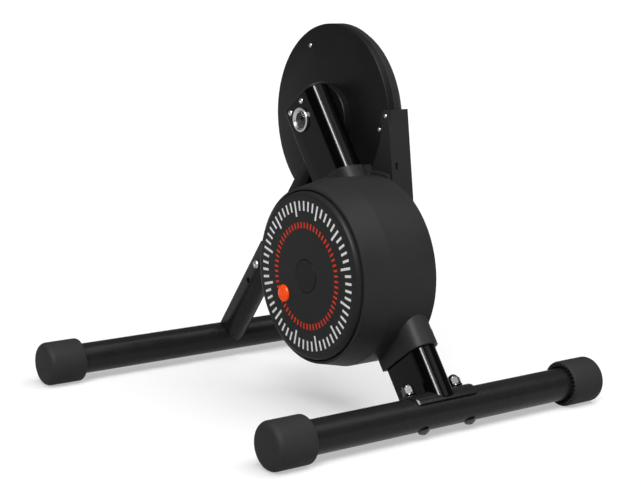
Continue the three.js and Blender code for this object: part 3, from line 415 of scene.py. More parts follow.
def hexagon(name, across, low, high):
    """A six-sided block with chamfered corners."""
    deselect()
    corner = across / math.sqrt(3)
    bpy.ops.mesh.primitive_cylinder_add(
        vertices=6, radius=corner, depth=high - low, location=(0, 0, (low + high) / 2))
    piece = bpy.context.object
    piece.name = name
    settle(piece)
    barrel = [(0, low), (across / 2, low), (corner, low + NUT_CHAMFER), (corner, high - NUT_CHAMFER)]
    barrel += [(across / 2, high), (0, high)]
    return carve(piece, turned("barrel", barrel, steps=48), operation="INTERSECT")


def arc(radius, rise, degrees, base=0.0):
    """Points of a dome's side, by their angles above its rim."""
    return [(radius * math.cos(math.radians(a)), base + rise * math.sin(math.radians(a))) for a in degrees]


def button_screw(name, place, turn, radius, height, shank, length, across=0):
    """A screw that points up: a domed head below the origin, with or without a six-sided recess."""
    dome = arc(radius, -height, (80, 60, 40, 20, 0))
    piece = turned(name, [(0, -height), *dome, (shank, 0), (shank, length), (0, length)], steps=48)
    if across:
        carve(piece, hexagon("recess", across, -height - 0.001, -height * 0.35))
    return settle(piece, place, turn)


def along_post(x, distance):
    return Vector((x, REAR_Y, FOOT_Z)) + POST_UP * distance


FOOT_BOLT = {"radius": 0.0072, "height": 0.0044, "shank": 0.004, "length": 0.0502, "across": 0.005}
BOLT_AT, WASHER_AT, NUT_AT = -0.0197, 0.0231, 0.025
WASHER = [(BOLT_HOLE, 0), (0.0078, 0), (0.008, 0.0003), (0.008, 0.0013), (0.0078, 0.0016)]
WASHER += [(BOLT_HOLE, 0.0016), (BOLT_HOLE, 0)]
CROWN_RADIUS, CROWN_FOOT, CROWN_SIDE, CROWN_TOP = 0.0058, 0.007, 0.0086, 0.013
CROWN_RISE = 0.0044
for side, x in (("left", -BOLT_X), ("right", BOLT_X)):
    bolt = button_screw(f"foot_screw_{side}", along_post(x, BOLT_AT), POST_TURN, **FOOT_BOLT)
    fit(smooth(bolt), "frame", "black_paint", black_plating, f"foot_bolt_{side}")
    washer = turned(f"foot_plate_washer_{side}", WASHER, along_post(x, WASHER_AT), POST_TURN, steps=48)
    fit(smooth(washer), "frame", "black_paint", black_plating, f"foot_washer_{side}")
    nut = hexagon(f"foot_dome_nut_{side}", NUT_ACROSS, 0, 0.008)
    crown = [(0, CROWN_FOOT), (CROWN_RADIUS, CROWN_FOOT), (CROWN_RADIUS, CROWN_SIDE)]
    crown += arc(CROWN_RADIUS, CROWN_RISE, (25, 50, 75), CROWN_SIDE)
    carve(nut, turned("crown", crown + [(0, CROWN_TOP)], steps=48), operation="UNION")
    drill(nut, BOLT_HOLE, UNMOVED, UNMOVED, length=0.0128)
    settle(nut, along_post(x, NUT_AT), POST_TURN)
    fit(smooth(nut), "frame", "black_paint", black_plating, f"foot_nut_{side}")

# Main post: a steel tube with flat sides, a flat front and a half-round back, in gloss black. It leans
# forwards to the axle, and a smaller stub of the same section is welded on its front for the leg.
POST_HALF, POST_FRONT, POST_BACK = 0.0172, 0.0262, 0.0414
POST_BOTTOM, POST_TOP = -0.392, 0.025
STUB_HALF, STUB_FRONT, STUB_BACK, STUB_END = 0.0149, -0.0313, 0.0563, -0.264
AXLE_HOLE, DRUM_HOLE = 0.0138, 0.0203
AXLE = Vector((0, 0.0285, 0.34))
DRUM = Vector((0, -0.074216, 0.167723))
LEG_LEAN = math.radians(128.233)
LEG_TURN = (LEG_LEAN - math.pi / 2, 0, 0)
gloss_paint = finish(
    "gloss black paint",
    (0.0015, 0.0015, 0.0016),
    (0.0022, 0.0022, 0.0023),
    (0.12, 0.15),
    grain=0.0025,
    depth=0.000004,
    Specular_IOR_Level=0.07,
)


def d_tube(name, half, front, back, low, high, place, turn, edge=0.002, rim=0.0):
    """A block whose two back edges are rounded into one half circle, and then leant. +Y is its front."""
    piece = brick(name, (-half, -back, low), (half, front, high))
    pick(piece, "EDGE", lambda side: upright(side) and side.verts[0].co.y < front - 1e-4)
    bpy.ops.mesh.bevel(offset=half * 0.9999, segments=32, affect="EDGES")
    if edge:
        pick(piece, "EDGE", lambda side: upright(side) and side.verts[0].co.y > front - 1e-5)
        bpy.ops.mesh.bevel(offset=edge, segments=5, affect="EDGES")
    clean(piece)
    if rim:
        level = [low, high]
        pick(piece, "EDGE", lambda side: any(all(abs(v.co.z - z) < 1e-6 for v in side.verts) for z in level))
        bpy.ops.mesh.bevel(offset=rim, segments=3, affect="EDGES")
    return settle(piece, place, turn)


def point_on(lean, along, across, x=0.0):
    """A point a distance along a leaning tube from the axle, and across it to its rear."""
    up = Vector((0, math.cos(lean), math.sin(lean)))
    rearwards = Vector((0, -math.sin(lean), math.cos(lean)))
    return AXLE + up * along + rearwards * across + Vector((x, 0, 0))


post = d_tube("post", POST_HALF, POST_FRONT, POST_BACK, POST_BOTTOM, POST_TOP, AXLE, POST_TURN, rim=0.0004)
stub = d_tube("stub", STUB_HALF, STUB_FRONT, STUB_BACK, STUB_END, 0.0, AXLE, LEG_TURN, edge=0.0015)
behind_front_wall = brick("behind_front_wall", (-0.1, -0.2, -0.5), (0.1, POST_FRONT - 0.0015, 0.1))
carve(stub, settle(behind_front_wall, AXLE, POST_TURN))
carve(post, stub, operation="UNION")
drill(post, SADDLE_OUTER + 0.0003, REAR_FOOT, FLAT, steps=128)
drill(post, AXLE_HOLE, AXLE, FLAT, steps=96)
drill(post, DRUM_HOLE, DRUM, FLAT, steps=96)
CAP_SCREW_UP, CAP_SCREW_ACROSS = 0.0193, (0.0124, -0.0157)
CAP_SCREWS = [point_on(POST_LEAN, CAP_SCREW_UP, across, -POST_HALF) for across in CAP_SCREW_ACROSS]
for at in CAP_SCREWS:
    drill(post, 0.0021, at, FLAT, length=0.024)
fit(smooth(post, 12), "frame", "black_paint", gloss_paint, "main_post")

# Post cap: a plate of moulded plastic on the tube's end. Its plug is hidden in the tube and left out. Two
# small zinc screws go through the left flat into it.
shell_plastic = finish(
    "grained black plastic",
    (0.026, 0.026, 0.0264),
    (0.033, 0.033, 0.0335),
    (0.4, 0.5),
    grain=0.0007,
    depth=0.00003,
    patch=0.05,
    Specular_IOR_Level=0.06,
)
PLATE_LOW, PLATE_HIGH = 0.0253, 0.0287
post_cap = d_tube(
    "post_end_cap", POST_HALF, POST_FRONT, POST_BACK, PLATE_LOW, PLATE_HIGH, AXLE, POST_TURN, rim=0.0012)
fit(smooth(post_cap, 40), "frame", "black_plastic", shell_plastic, "post_top_cap")
CAP_SCREW = {"radius": 0.0036, "height": 0.0013, "shank": 0.0018, "length": 0.0108, "across": 0.0022}
HEAD_GAP = 0.0003
for i, at in enumerate(CAP_SCREWS):
    screw = button_screw(f"cap_button_{i + 1}", at - Vector((HEAD_GAP, 0, 0)), FLAT, **CAP_SCREW)
    fit(smooth(screw), "frame", "zinc", zinc, f"cap_screw_{i + 1}")

# Front leg: the next larger size of the same tube, slid over the stub and coped over the front crossbar. A
# zinc bolt pins it, and the hole below is its spare setting.
LEG_BACK, LEG_FRONT, LEG_TOP = 0.0586, -0.029, -0.187
LEG_BORE, LEG_WALL, LEG_COPE = 0.0152, 0.002, 0.0198
LEG_BOLT_HOLE, LEG_SPARE_HOLE, LEG_HOLES_ACROSS = 0.0042, 0.0039, 0.0418
leg_foot = (Vector(FRONT_FOOT) - AXLE).dot(Vector((0, math.cos(LEG_LEAN), math.sin(LEG_LEAN))))
leg = d_tube("leg", POST_HALF, LEG_FRONT, LEG_BACK, leg_foot, LEG_TOP, AXLE, LEG_TURN, edge=0.003)
bore_front, bore_back = LEG_FRONT - LEG_WALL, LEG_BACK - LEG_WALL
carve(leg, d_tube("bore", LEG_BORE, bore_front, bore_back, -0.5, 0.0, AXLE, LEG_TURN, edge=0.0015))
drill(leg, LEG_COPE, FRONT_FOOT, FLAT, steps=96)
LEG_BOLT = point_on(LEG_LEAN, -0.218, LEG_HOLES_ACROSS)
LEG_SPARE = point_on(LEG_LEAN, -0.249, LEG_HOLES_ACROSS, -0.02)
drill(leg, LEG_BOLT_HOLE, LEG_BOLT, FLAT)
drill(leg, LEG_SPARE_HOLE, LEG_SPARE, FLAT, length=0.03)
modify(leg, "BEVEL", width=0.0004, segments=2, limit_method="ANGLE", angle_limit=math.radians(60))
fit(smooth(leg, 25), "frame", "black_paint", powder_coat, "front_leg")
LEG_SCREW = {"radius": 0.0056, "height": 0.003, "shank": 0.0039, "length": 0.0435, "across": 0.004}
leg_side = Vector((POST_HALF + HEAD_GAP, 0, 0))
leg_screw = button_screw("leg_button", LEG_BOLT - leg_side, FLAT, **LEG_SCREW)
fit(smooth(leg_screw), "frame", "zinc", zinc, "leg_bolt")
leg_nut = hexagon("leg_hex_nut", NUT_ACROSS, 0, 0.0065)
drill(leg_nut, LEG_BOLT_HOLE, UNMOVED, UNMOVED)
settle(leg_nut, LEG_BOLT + leg_side, FLAT)
fit(smooth(leg_nut), "frame", "zinc", zinc, "leg_nut")

# Axle: a turned steel shaft with a collar on the post's left flat, a counterbore for the dropout adapter
# and a bore right through. A nut with two flats holds the freehub on its right end.
steel = finish(
    "turned steel",
    (0.36, 0.36, 0.368),
    (0.46, 0.46, 0.468),
    (0.24, 0.34),
    grain=0.0006,
    depth=0.000008,
    patch=0.004,
    Metallic=1.0,
)
AXLE_LEFT, AXLE_RIGHT = -0.0205, 0.1095
axle_section = [
    (0.0129, AXLE_LEFT),
    (0.0144, AXLE_LEFT),
    (0.015, AXLE_LEFT + 0.0006),
    (0.015, -0.0175),
    (0.0135, -0.0175),
    (0.0135, 0.0202),
    (0.0085, 0.0202),
    (0.0085, AXLE_RIGHT - 0.0004),
    (0.0081, AXLE_RIGHT),
    (0.0066, AXLE_RIGHT),
    (0.0062, AXLE_RIGHT - 0.0004),
    (0.0062, AXLE_LEFT + 0.018),
    (0.0104, AXLE_LEFT + 0.018),
    (0.0104, AXLE_LEFT + 0.0022),
    (0.0124, AXLE_LEFT + 0.0005),
    (0.0129, AXLE_LEFT),
]
axle = turned("hollow_axle", axle_section, AXLE, FLAT)
fit(smooth(axle), "frame", "bright_steel", steel, "axle")
END_NUT_LENGTH, END_NUT_FLAT = 0.004, 0.0104
end_nut_section = [(0.0088, 0), (0.0116, 0), (0.012, 0.0004), (0.012, 0.0034), (0.0114, END_NUT_LENGTH)]
end_nut_section += [(0.0088, END_NUT_LENGTH), (0.0088, 0)]
end_nut = turned("axle_nut", end_nut_section, steps=72)
for side in (-1, 1):
    low, high = sorted((side * END_NUT_FLAT, side * 0.02))
    carve(end_nut, brick("flat", (low, -0.02, 0.0012), (high, 0.02, 0.01)))
settle(end_nut, AXLE + Vector((AXLE_RIGHT - END_NUT_LENGTH, 0, 0)), FLAT)
fit(smooth(end_nut), "frame", "bright_steel", steel, "axle_end_nut")

# Large pulley: turned aluminium with a plain rim between two flanges, a thin web with six holes, and a hub
# that carries the ratchet ring inside its right end.
aluminium = finish(
    "turned aluminium",
    (0.42, 0.42, 0.43),
    (0.52, 0.52, 0.53),
    (0.26, 0.38),
    grain=0.0008,
    depth=0.000012,
    patch=0.008,
    Metallic=1.0,
)
pulley_section = [
    (0.0178, 0.03),
    (0.024, 0.03),
    (0.024, 0.0365),
    (0.096, 0.0365),
    (0.096, 0.0312),
    (0.105, 0.0312),
    (0.105, 0.0322),
    (0.104, 0.0322),
    (0.104, 0.0458),
    (0.105, 0.0458),
    (0.105, 0.0468),
    (0.096, 0.0468),
    (0.096, 0.0415),
    (0.024, 0.0415),
    (0.024, 0.0671),
    (0.0236, 0.0675),
    (0.0197, 0.0675),
    (0.0197, 0.0595),
    (0.0178, 0.0595),
    (0.0178, 0.03),
]
pulley = turned("belt_pulley", pulley_section, AXLE, FLAT, steps=144)
WEB_HOLES, WEB_HOLE, WEB_CIRCLE, WEB_X = 6, 0.015, 0.06, 0.04
for i in range(WEB_HOLES):
    angle = math.radians(360 / WEB_HOLES * i)
    at = AXLE + Vector((WEB_X, WEB_CIRCLE * math.sin(angle), WEB_CIRCLE * math.cos(angle)))
    drill(pulley, WEB_HOLE, at, FLAT, length=0.02, steps=48)
fit(smooth(pulley), "pulley", "aluminium", aluminium, "large_pulley")

# Freehub: an anodised aluminium barrel with nine splines, a flange on its left, and a tail inside the
# pulley's hub with a seat for each of the three pawls.
BARREL_START, BARREL_END = 0.0707, 0.1057
freehub_section = [
    (0.0093, 0.0598),
    (0.0142, 0.0598),
    (0.0142, 0.0683),
    (0.0183, 0.0683),
    (0.0186, 0.0686),
    (0.0186, 0.0704),
    (0.0183, BARREL_START),
    (0.0171, BARREL_START),
    (0.0171, BARREL_END - 0.0006),
    (0.0165, BARREL_END),
    (0.0136, BARREL_END),
    (0.0133, BARREL_END - 0.0003),
    (0.0133, BARREL_START),
    (0.0093, BARREL_START),
    (0.0093, 0.0598),
]
SPLINES, SPLINE_FLOOR, SPLINE_HALF = 9, 0.0159, 0.0022
PAWLS, PAWL_SEAT, PAWL_PIVOT = 3, 0.0016, 0.0126
barrel = turned("freehub_barrel", freehub_section, steps=108)
for i in range(SPLINES):
    low = (SPLINE_FLOOR, -SPLINE_HALF, BARREL_START + 0.0002)
    groove = brick("groove", low, (0.02, SPLINE_HALF, BARREL_END + 0.001))
    carve(barrel, settle(groove, UNMOVED, (0, 0, math.radians(360 / SPLINES * i))))
settle(barrel, AXLE, FLAT)
for i in range(PAWLS):
    seat = turned("seat", [(0, -0.02), (PAWL_SEAT, -0.02), (PAWL_SEAT, 0.0682), (0, 0.0682)], steps=24)
    settle(seat, (0, 0, PAWL_PIVOT), FLAT)
    pocket = brick("pocket", (0.04, 0, 0.011), (0.0681, 0.0075, 0.0165))
    for tool in (seat, pocket):
        settle(tool, UNMOVED, (math.radians(360 / PAWLS * i), 0, 0))
        settle(tool, AXLE)
    carve(barrel, seat, pocket)
fit(smooth(barrel), "freehub", "aluminium", aluminium, "freehub_body")

# Belt cover, inner half: a flat pan of moulded plastic, round about the axle with a tail down to the drum.
# Three small zinc screws with plain heads show on its left face, and a low boss carries it on the post.
# The belt cover's plastic is much darker than the housing's. The darker tone is painted shade for the dimly
# lit left-facing faces of the cover and hub cap. The lower roughness is its smoother moulding.
cover_plastic_painted_shade = finish(
    "smooth black plastic",
    (0.011, 0.011, 0.0112),
    (0.0145, 0.0145, 0.0148),
    (0.36, 0.44),
    grain=0.0007,
    depth=0.00002,
    patch=0.05,
    Specular_IOR_Level=0.07,
)
COVER_LEFT, COVER_SPLIT, COVER_RIM = 0.027, 0.0355, 0.044
COVER_RADIUS, TAIL_RADIUS, COVER_WALL = 0.1166, 0.0359, 0.002
BOSS_RADIUS, TAIL_BOSS_RADIUS, BOSS_END = 0.0415, 0.028, 0.028
SHAFT_HOLE, PILOT_HOLE, COVER_SCREW_CIRCLE = 0.0093, 0.0018, 0.0984


def loop(name, low, high, shrink=0.0):
    """The cover's outline between two heights: the hull of a large and a small disc."""
    deselect()
    for centre, radius, steps in ((AXLE, COVER_RADIUS, 192), (DRUM, TAIL_RADIUS, 96)):
        bpy.ops.mesh.primitive_cylinder_add(
            vertices=steps,
            radius=radius - shrink,
            depth=high - low,
            location=((low + high) / 2, centre.y, centre.z),
            rotation=FLAT,
        )
        bpy.context.object.select_set(True)
        if centre is AXLE:
            first = bpy.context.object
    first.select_set(True)
    bpy.context.view_layer.objects.active = first
    bpy.ops.object.join()
    first.name = name
    settle(first)
    bpy.ops.object.mode_set(mode="EDIT")
    bpy.ops.mesh.select_all(action="SELECT")
    bpy.ops.mesh.convex_hull()
    bpy.ops.mesh.dissolve_limited(angle_limit=math.radians(0.2))
    bpy.ops.object.mode_set(mode="OBJECT")
    return first


def faces_left(face):
    return face.normal.x < -0.999


def faces_right(face):
    return face.normal.x > 0.999


inner_cover = loop("belt_cover_left", COVER_LEFT, COVER_SPLIT)
pick(inner_cover, "FACE", faces_left)
bpy.ops.mesh.bevel(offset=0.0011, segments=3, affect="EDGES")
carve(inner_cover, loop("pan", COVER_LEFT + COVER_WALL, COVER_SPLIT + 0.001, COVER_WALL))
boss = [(0, 0.0175), (0.0405, 0.0175), (BOSS_RADIUS, 0.0185), (BOSS_RADIUS, BOSS_END), (0, BOSS_END)]
tail_boss = [(0, 0.0216), (0.0275, 0.0216), (TAIL_BOSS_RADIUS, 0.0221), (TAIL_BOSS_RADIUS, BOSS_END)]
tail_boss += [(0, BOSS_END)]
carve(
    inner_cover,
    turned("boss", boss, AXLE, FLAT),
    turned("tail_boss", tail_boss, DRUM, FLAT),
    operation="UNION",
)
drill(inner_cover, AXLE_HOLE, AXLE, FLAT, steps=96)
drill(inner_cover, SHAFT_HOLE, DRUM, FLAT, steps=64)
COVER_SCREWS = [
    AXLE + Vector((COVER_LEFT, COVER_SCREW_CIRCLE * math.cos(a), COVER_SCREW_CIRCLE * math.sin(a)))
    for a in (math.radians(64), math.radians(184), math.radians(304))
]
for at in COVER_SCREWS:
    drill(inner_cover, PILOT_HOLE, at, FLAT, length=0.01)
fit(smooth(inner_cover, 25), "frame", "black_plastic", cover_plastic_painted_shade, "belt_cover_inner")
SMALL_SCREW = {"radius": 0.0027, "height": 0.0012, "shank": 0.0015}
for i, at in enumerate(COVER_SCREWS):
    at = at - Vector((HEAD_GAP, 0, 0))
    screw = button_screw(f"cover_button_{i + 1}", at, FLAT, length=0.0035, **SMALL_SCREW)
    fit(smooth(screw), "frame", "zinc", zinc, f"cover_screw_{i + 1}")

# Belt cover, outer half: the lid of the same outline, whose face slopes in from the rim and is pierced for
# the pulley's hub.
FACE_SLOPE = ((0.0034, 0.0055), (0.0052, 0.0045))
HUB_HOLE = 0.0248
outer_cover = loop("belt_cover_right", COVER_SPLIT + 0.0003, COVER_RIM)
pan = loop("pan", COVER_SPLIT, COVER_RIM - COVER_WALL, COVER_WALL)
for shape in (outer_cover, pan):
    for inwards, out in FACE_SLOPE:
        pick(shape, "FACE", faces_right)
        bpy.ops.mesh.inset(thickness=inwards, depth=out)
carve(outer_cover, pan)
drill(outer_cover, HUB_HOLE, AXLE, FLAT, steps=96)
fit(smooth(outer_cover, 25), "frame", "black_plastic", shell_plastic, "belt_cover_outer")

# Belt guard: a bent plate down the back of the cover, with a lip over the cover's left face that tapers to
# the drum. A notch relieves the bend below its ear, and one screw holds the ear.
RUN_COS, RUN_SIN = 0.9924, 0.1231
RUN_OUT = Vector((0, -RUN_COS, RUN_SIN))
RUN_DOWN = Vector((0, -RUN_SIN, -RUN_COS))
GUARD_LEFT, GUARD_RIGHT, GUARD_LIP = 0.024, 0.054, 0.0027
GUARD_TOP, GUARD_NOTCH, GUARD_END = 0.358, 0.341, 0.1856
GUARD_OUTSIDE, GUARD_INSIDE = 0.1193, 0.117
SLOT_LOW, SLOT_HIGH, SLOT_ROUND = (0.03, -0.2, 0.287), (0.0335, -0.0856, 0.296), 0.0017


def on_run(out, down):
    """A point by its distance out from the axle and down the straight run behind the cover."""
    return AXLE + RUN_OUT * out + RUN_DOWN * down


def on_run_at(out, height):
    """A point by its distance out from the axle and its height over the floor."""
    return on_run(out, (AXLE.z + RUN_OUT.z * out - height) / RUN_COS)


def sheet(name, outline, left, right):
    """A flat piece: its outline is drawn point by point from one vertex, filled and given its thickness."""
    deselect()
    bpy.ops.mesh.primitive_plane_add(size=0.01, location=(left, outline[0].y, outline[0].z))
    piece = bpy.context.object
    piece.name = name
    bpy.ops.object.mode_set(mode="EDIT")
    bpy.ops.mesh.select_mode(type="VERT")
    bpy.ops.mesh.select_all(action="SELECT")
    bpy.ops.mesh.merge(type="CENTER")
    for last, point in zip(outline, outline[1:]):
        step = (0, point.y - last.y, point.z - last.z)
        bpy.ops.mesh.extrude_vertices_move(TRANSFORM_OT_translate={"value": step})
    bpy.ops.mesh.select_all(action="SELECT")
    bpy.ops.mesh.edge_face_add()
    bpy.ops.mesh.extrude_region_move(TRANSFORM_OT_translate={"value": (right - left, 0, 0)})
    return clean(settle(piece))


wall_outline = [on_run_at(GUARD_OUTSIDE, GUARD_TOP), on_run_at(GUARD_INSIDE, GUARD_TOP)]
wall_outline += [on_run(GUARD_INSIDE, GUARD_END), on_run(GUARD_OUTSIDE, GUARD_END)]
lip_outline = [on_run_at(GUARD_OUTSIDE, GUARD_NOTCH), on_run_at(0.1183, GUARD_TOP - 0.001)]
lip_outline += [on_run_at(0.112, GUARD_TOP - 0.0004), on_run_at(0.1075, 0.3548), on_run_at(0.1043, 0.348)]
lip_outline += [on_run(0.1039, 0.019), on_run(0.0996, 0.035), on_run(0.08, 0.0655), on_run(0.0596, 0.093)]
lip_outline += [on_run(GUARD_OUTSIDE, 0.112)]
guard = sheet("belt_guard_plate", wall_outline, GUARD_LEFT, GUARD_RIGHT)
carve(guard, brick("relief", (0, -0.2, GUARD_NOTCH), (0.0273, 0, 0.4)))
carve(guard, sheet("lip", lip_outline, GUARD_LEFT, GUARD_LEFT + GUARD_LIP), operation="UNION")
slot = brick("slot", SLOT_LOW, SLOT_HIGH)
pick(slot, "EDGE", lambda side: abs(side.verts[0].co.y - side.verts[1].co.y) > 0.01)
bpy.ops.mesh.bevel(offset=SLOT_ROUND, segments=5, affect="EDGES")
carve(guard, slot)
GUARD_SCREW = on_run(0.1135, 0.0035) + Vector((GUARD_LEFT, 0, 0))
drill(guard, PILOT_HOLE, GUARD_SCREW, FLAT, length=0.02)
modify(guard, "BEVEL", width=0.0003, segments=2, limit_method="ANGLE", angle_limit=math.radians(50))
fit(smooth(guard), "frame", "black_plastic", shell_plastic, "belt_guard")
guard_button = button_screw(
    "guard_button", GUARD_SCREW - Vector((HEAD_GAP, 0, 0)), FLAT, length=0.0065, **SMALL_SCREW)
fit(smooth(guard_button), "frame", "zinc", zinc, "guard_screw")

# Drum housing: one deep moulded pan that tapers a little towards its open left end. A sleeve of the same
# moulding wraps the post, ends below in a raised band, and reaches across to the belt cover above.
HOUSING_RIGHT, HOUSING_CREASE, HOUSING_LEFT = 0.0213, -0.043, -0.0773
HOUSING_RADIUS, HOUSING_LIP, HOUSING_EDGE = 0.112, 0.1045, 0.001
housing_outside = [(0, HOUSING_LEFT), (0.1034, HOUSING_LEFT), (0.1042, HOUSING_LEFT + 0.0003)]
housing_outside += [(HOUSING_LIP, HOUSING_LEFT + 0.0011), (0.1105, -0.049), (HOUSING_RADIUS, HOUSING_CREASE)]
housing_outside += rounding(
    HOUSING_RADIUS - HOUSING_EDGE, HOUSING_RIGHT - HOUSING_EDGE, HOUSING_EDGE, 90, 180, 14)
housing_outside += [(0, HOUSING_RIGHT)]
housing_inside = [
    (0, HOUSING_LEFT - 0.001),
    (0.1013, HOUSING_LEFT - 0.001),
    (0.1013, -0.0733),
    (0.1072, -0.0489),
    (0.1087, HOUSING_CREASE),
    (0.109, 0.0183),
    (0, 0.0183),
]
housing = turned("drum_shell", housing_outside, DRUM, FLAT, steps=192)


def disc(name, radius, left, right, centre, steps=128):
    """A round cutter along X about a centre in the YZ plane."""
    return turned(name, [(0, left), (radius, left), (radius, right), (0, right)], centre, FLAT, steps)


SLEEVE_HALF, SLEEVE_FRONT, SLEEVE_BACK = 0.0209, 0.0299, 0.0451
SLEEVE_LOW, SLEEVE_TOP, COLLAR_ARC = -0.318, -0.084, 0.1387
BAND_HALF, BAND_FRONT, BAND_BACK = 0.0213, 0.0303, 0.0455
BAND_LOW, BAND_TOP, BAND_ARC = -0.3285, -0.306, 0.119
PASSAGE_HALF, PASSAGE_FRONT, PASSAGE_BACK = 0.0175, 0.0265, 0.0417
sleeve = d_tube(
    "sleeve", SLEEVE_HALF, SLEEVE_FRONT, SLEEVE_BACK, SLEEVE_LOW, SLEEVE_TOP, AXLE, POST_TURN,
    edge=0.003, rim=0.0004)
collar_side = brick("collar_side", (0, -0.0386, -0.18), (0.0267, SLEEVE_FRONT, SLEEVE_TOP))
pick(collar_side, "EDGE", lambda side: upright(side) and side.verts[0].co.x > 0.02 and side.verts[0].co.y < 0)
bpy.ops.mesh.bevel(offset=0.002, segments=5, affect="EDGES")
carve(sleeve, settle(collar_side, AXLE, POST_TURN), operation="UNION")
collar_top = disc("collar_top", COLLAR_ARC, -0.05, 0.05, point_on(POST_LEAN, -0.223, 0.0))
carve(sleeve, collar_top, operation="INTERSECT")
shoulder_section = [(0.105, 0.0193), (0.1146, 0.0193), (0.115, 0.0203), (0.1174, 0.0262), (0.117, 0.0267)]
shoulder_section += [(0.105, 0.0267), (0.105, 0.0193)]
shoulder = turned("shoulder", shoulder_section, DRUM, FLAT, steps=192)
carve(shoulder, loop("outline", 0.0, 0.0269), operation="INTERSECT")
lip_space = [point - RUN_OUT * 0.0006 + RUN_DOWN * 0.0002 for point in lip_outline]
for bridge in (sleeve, shoulder):
    carve(bridge, sheet("lip_space", lip_space, GUARD_LEFT - 0.0003, 0.03))
band = d_tube(
    "band", BAND_HALF, BAND_FRONT, BAND_BACK, BAND_LOW, BAND_TOP, AXLE, POST_TURN, edge=0.003, rim=0.0008)
carve(band, disc("band_top", BAND_ARC, -0.05, 0.05, point_on(POST_LEAN, -0.1985, 0.0)))
carve(housing, sleeve, band, shoulder, operation="UNION")
carve(housing, turned("hollow", housing_inside, DRUM, FLAT, steps=192))
carve(housing, d_tube("passage", PASSAGE_HALF, PASSAGE_FRONT, PASSAGE_BACK, -0.5, 0.0, AXLE, POST_TURN))
drill(housing, SHAFT_HOLE, DRUM, FLAT, steps=64)
INLET, INLET_HALF = Vector((0, -0.01533, 0.10233)), 0.0068
inlet_low = (0, INLET.y - INLET_HALF, INLET.z - INLET_HALF)
inlet_high = (0.03, INLET.y + INLET_HALF, INLET.z + INLET_HALF)
carve(housing, brick("inlet_hole", inlet_low, inlet_high))
fit(smooth(housing, 8), "frame", "black_plastic", shell_plastic, "drum_housing")

# Front cover of the drum: a shallow moulded dish with a round nose, set in a groove behind the housing's lip.
# A ring of printed ticks runs round its face, white outside and orange inside.
FRONT_FACE, FRONT_BACK, PRINT_FACE = -0.084, -0.0815, -0.0838
NOSE_RADIUS, NOSE_X = 0.093, -0.0775
front_section = [(0.0201, -0.0837), (0.0204, FRONT_FACE)]
front_section += rounding(NOSE_RADIUS, NOSE_X, 0.0065, 0, 90, 10)
front_section += [(0.0995, -0.0722), (0.1011, -0.0722), (0.1011, -0.07), (0.097, -0.07), (0.097, NOSE_X)]
front_section += rounding(NOSE_RADIUS, NOSE_X, 0.004, 90, 0, 6)
front_section += [(0.0201, FRONT_BACK), (0.0201, -0.0837)]
LENS_OUT, LENS_ANGLE = 0.0523, math.radians(-31.8)
LENS = DRUM + LENS_OUT * Vector((0, math.cos(LENS_ANGLE), math.sin(LENS_ANGLE)))
dish = turned("drum_dish", front_section, DRUM, FLAT, steps=192)
drill(dish, 0.0107, LENS - Vector((0.08, 0, 0)), FLAT, length=0.02, steps=64)


def tick_group():
    """A ring of radial bars about a point in the YZ plane, on faces to the left of a given X."""
    tree, given, result = group(
        "tick ring",
        {
            "Centre": (VECTOR, (0, 0, 0)),
            "Count": (NUMBER, 60),
            "Inner": (NUMBER, 0.07),
            "Outer": (NUMBER, 0.08),
            "Width": (NUMBER, 0.002),
            "Face": (NUMBER, 0.0),
        },
        {"Mask": NUMBER},
    )
    where = node(tree, "TexCoord").outputs["Object"]
    offset = node(tree, "VectorMath", {0: where, 1: given.outputs["Centre"]}, operation="SUBTRACT")
    split = node(tree, "SeparateXYZ", {0: offset.outputs[0]}).outputs
    squares = maths(tree, "ADD", maths(tree, "POWER", split[1], 2.0), maths(tree, "POWER", split[2], 2.0))
    radius = maths(tree, "SQRT", squares)
    turn = maths(tree, "DIVIDE", maths(tree, "ARCTAN2", split[2], split[1]), 2 * math.pi)
    share = maths(tree, "FRACT", maths(tree, "MULTIPLY", turn, given.outputs["Count"]))
    aside = maths(tree, "ABSOLUTE", maths(tree, "SUBTRACT", share, 0.5))
    pitch = maths(tree, "DIVIDE", maths(tree, "MULTIPLY", radius, 2 * math.pi), given.outputs["Count"])
    tests = [
        maths(tree, "LESS_THAN", maths(tree, "MULTIPLY", aside, pitch), given.outputs["Width"]),
        maths(tree, "GREATER_THAN", radius, given.outputs["Inner"]),
        maths(tree, "LESS_THAN", radius, given.outputs["Outer"]),
        maths(tree, "LESS_THAN", split[0], given.outputs["Face"]),
    ]
    mask = tests[0]
    for test in tests[1:]:
        mask = maths(tree, "MULTIPLY", mask, test)
    tree.links.new(mask, result.inputs["Mask"])
    return tree


tick_ring = tick_group()
printed_plastic = finish(
    "printed black plastic",
    (0.02, 0.02, 0.0203),
    (0.026, 0.026, 0.0264),
    (0.4, 0.5),
    grain=0.0007,
    depth=0.00003,
    patch=0.05,
    Specular_IOR_Level=0.06,
)
tree = printed_plastic.node_tree
colour = tree.nodes["tone"].outputs[0]
WHITE_INK, ORANGE_INK = (0.95, 0.95, 0.95, 1), (0.85, 0.05, 0.012, 1)
for count, inner, outer, width, ink in (
    (60, 0.077, 0.0885, 0.0015, WHITE_INK),
    (12, 0.0705, 0.0885, 0.0015, WHITE_INK),
    (60, 0.0565, 0.0635, 0.0012, ORANGE_INK),
):
    ring = tree.nodes.new("ShaderNodeGroup")
    ring.node_tree = tick_ring
    ring.inputs["Centre"].default_value = DRUM
    ring.inputs["Count"].default_value = count
    ring.inputs["Inner"].default_value = inner
    ring.inputs["Outer"].default_value = outer
    ring.inputs["Width"].default_value = width
    ring.inputs["Face"].default_value = PRINT_FACE
    layer = node(tree, "MixRGB", {"Fac": ring.outputs["Mask"], "Color1": colour, "Color2": ink})
    colour = layer.outputs[0]
tree.links.new(colour, tree.nodes["Principled BSDF"].inputs["Base Color"])
fit(smooth(dish, 25), "frame", "black_plastic", printed_plastic, "drum_front_cover")
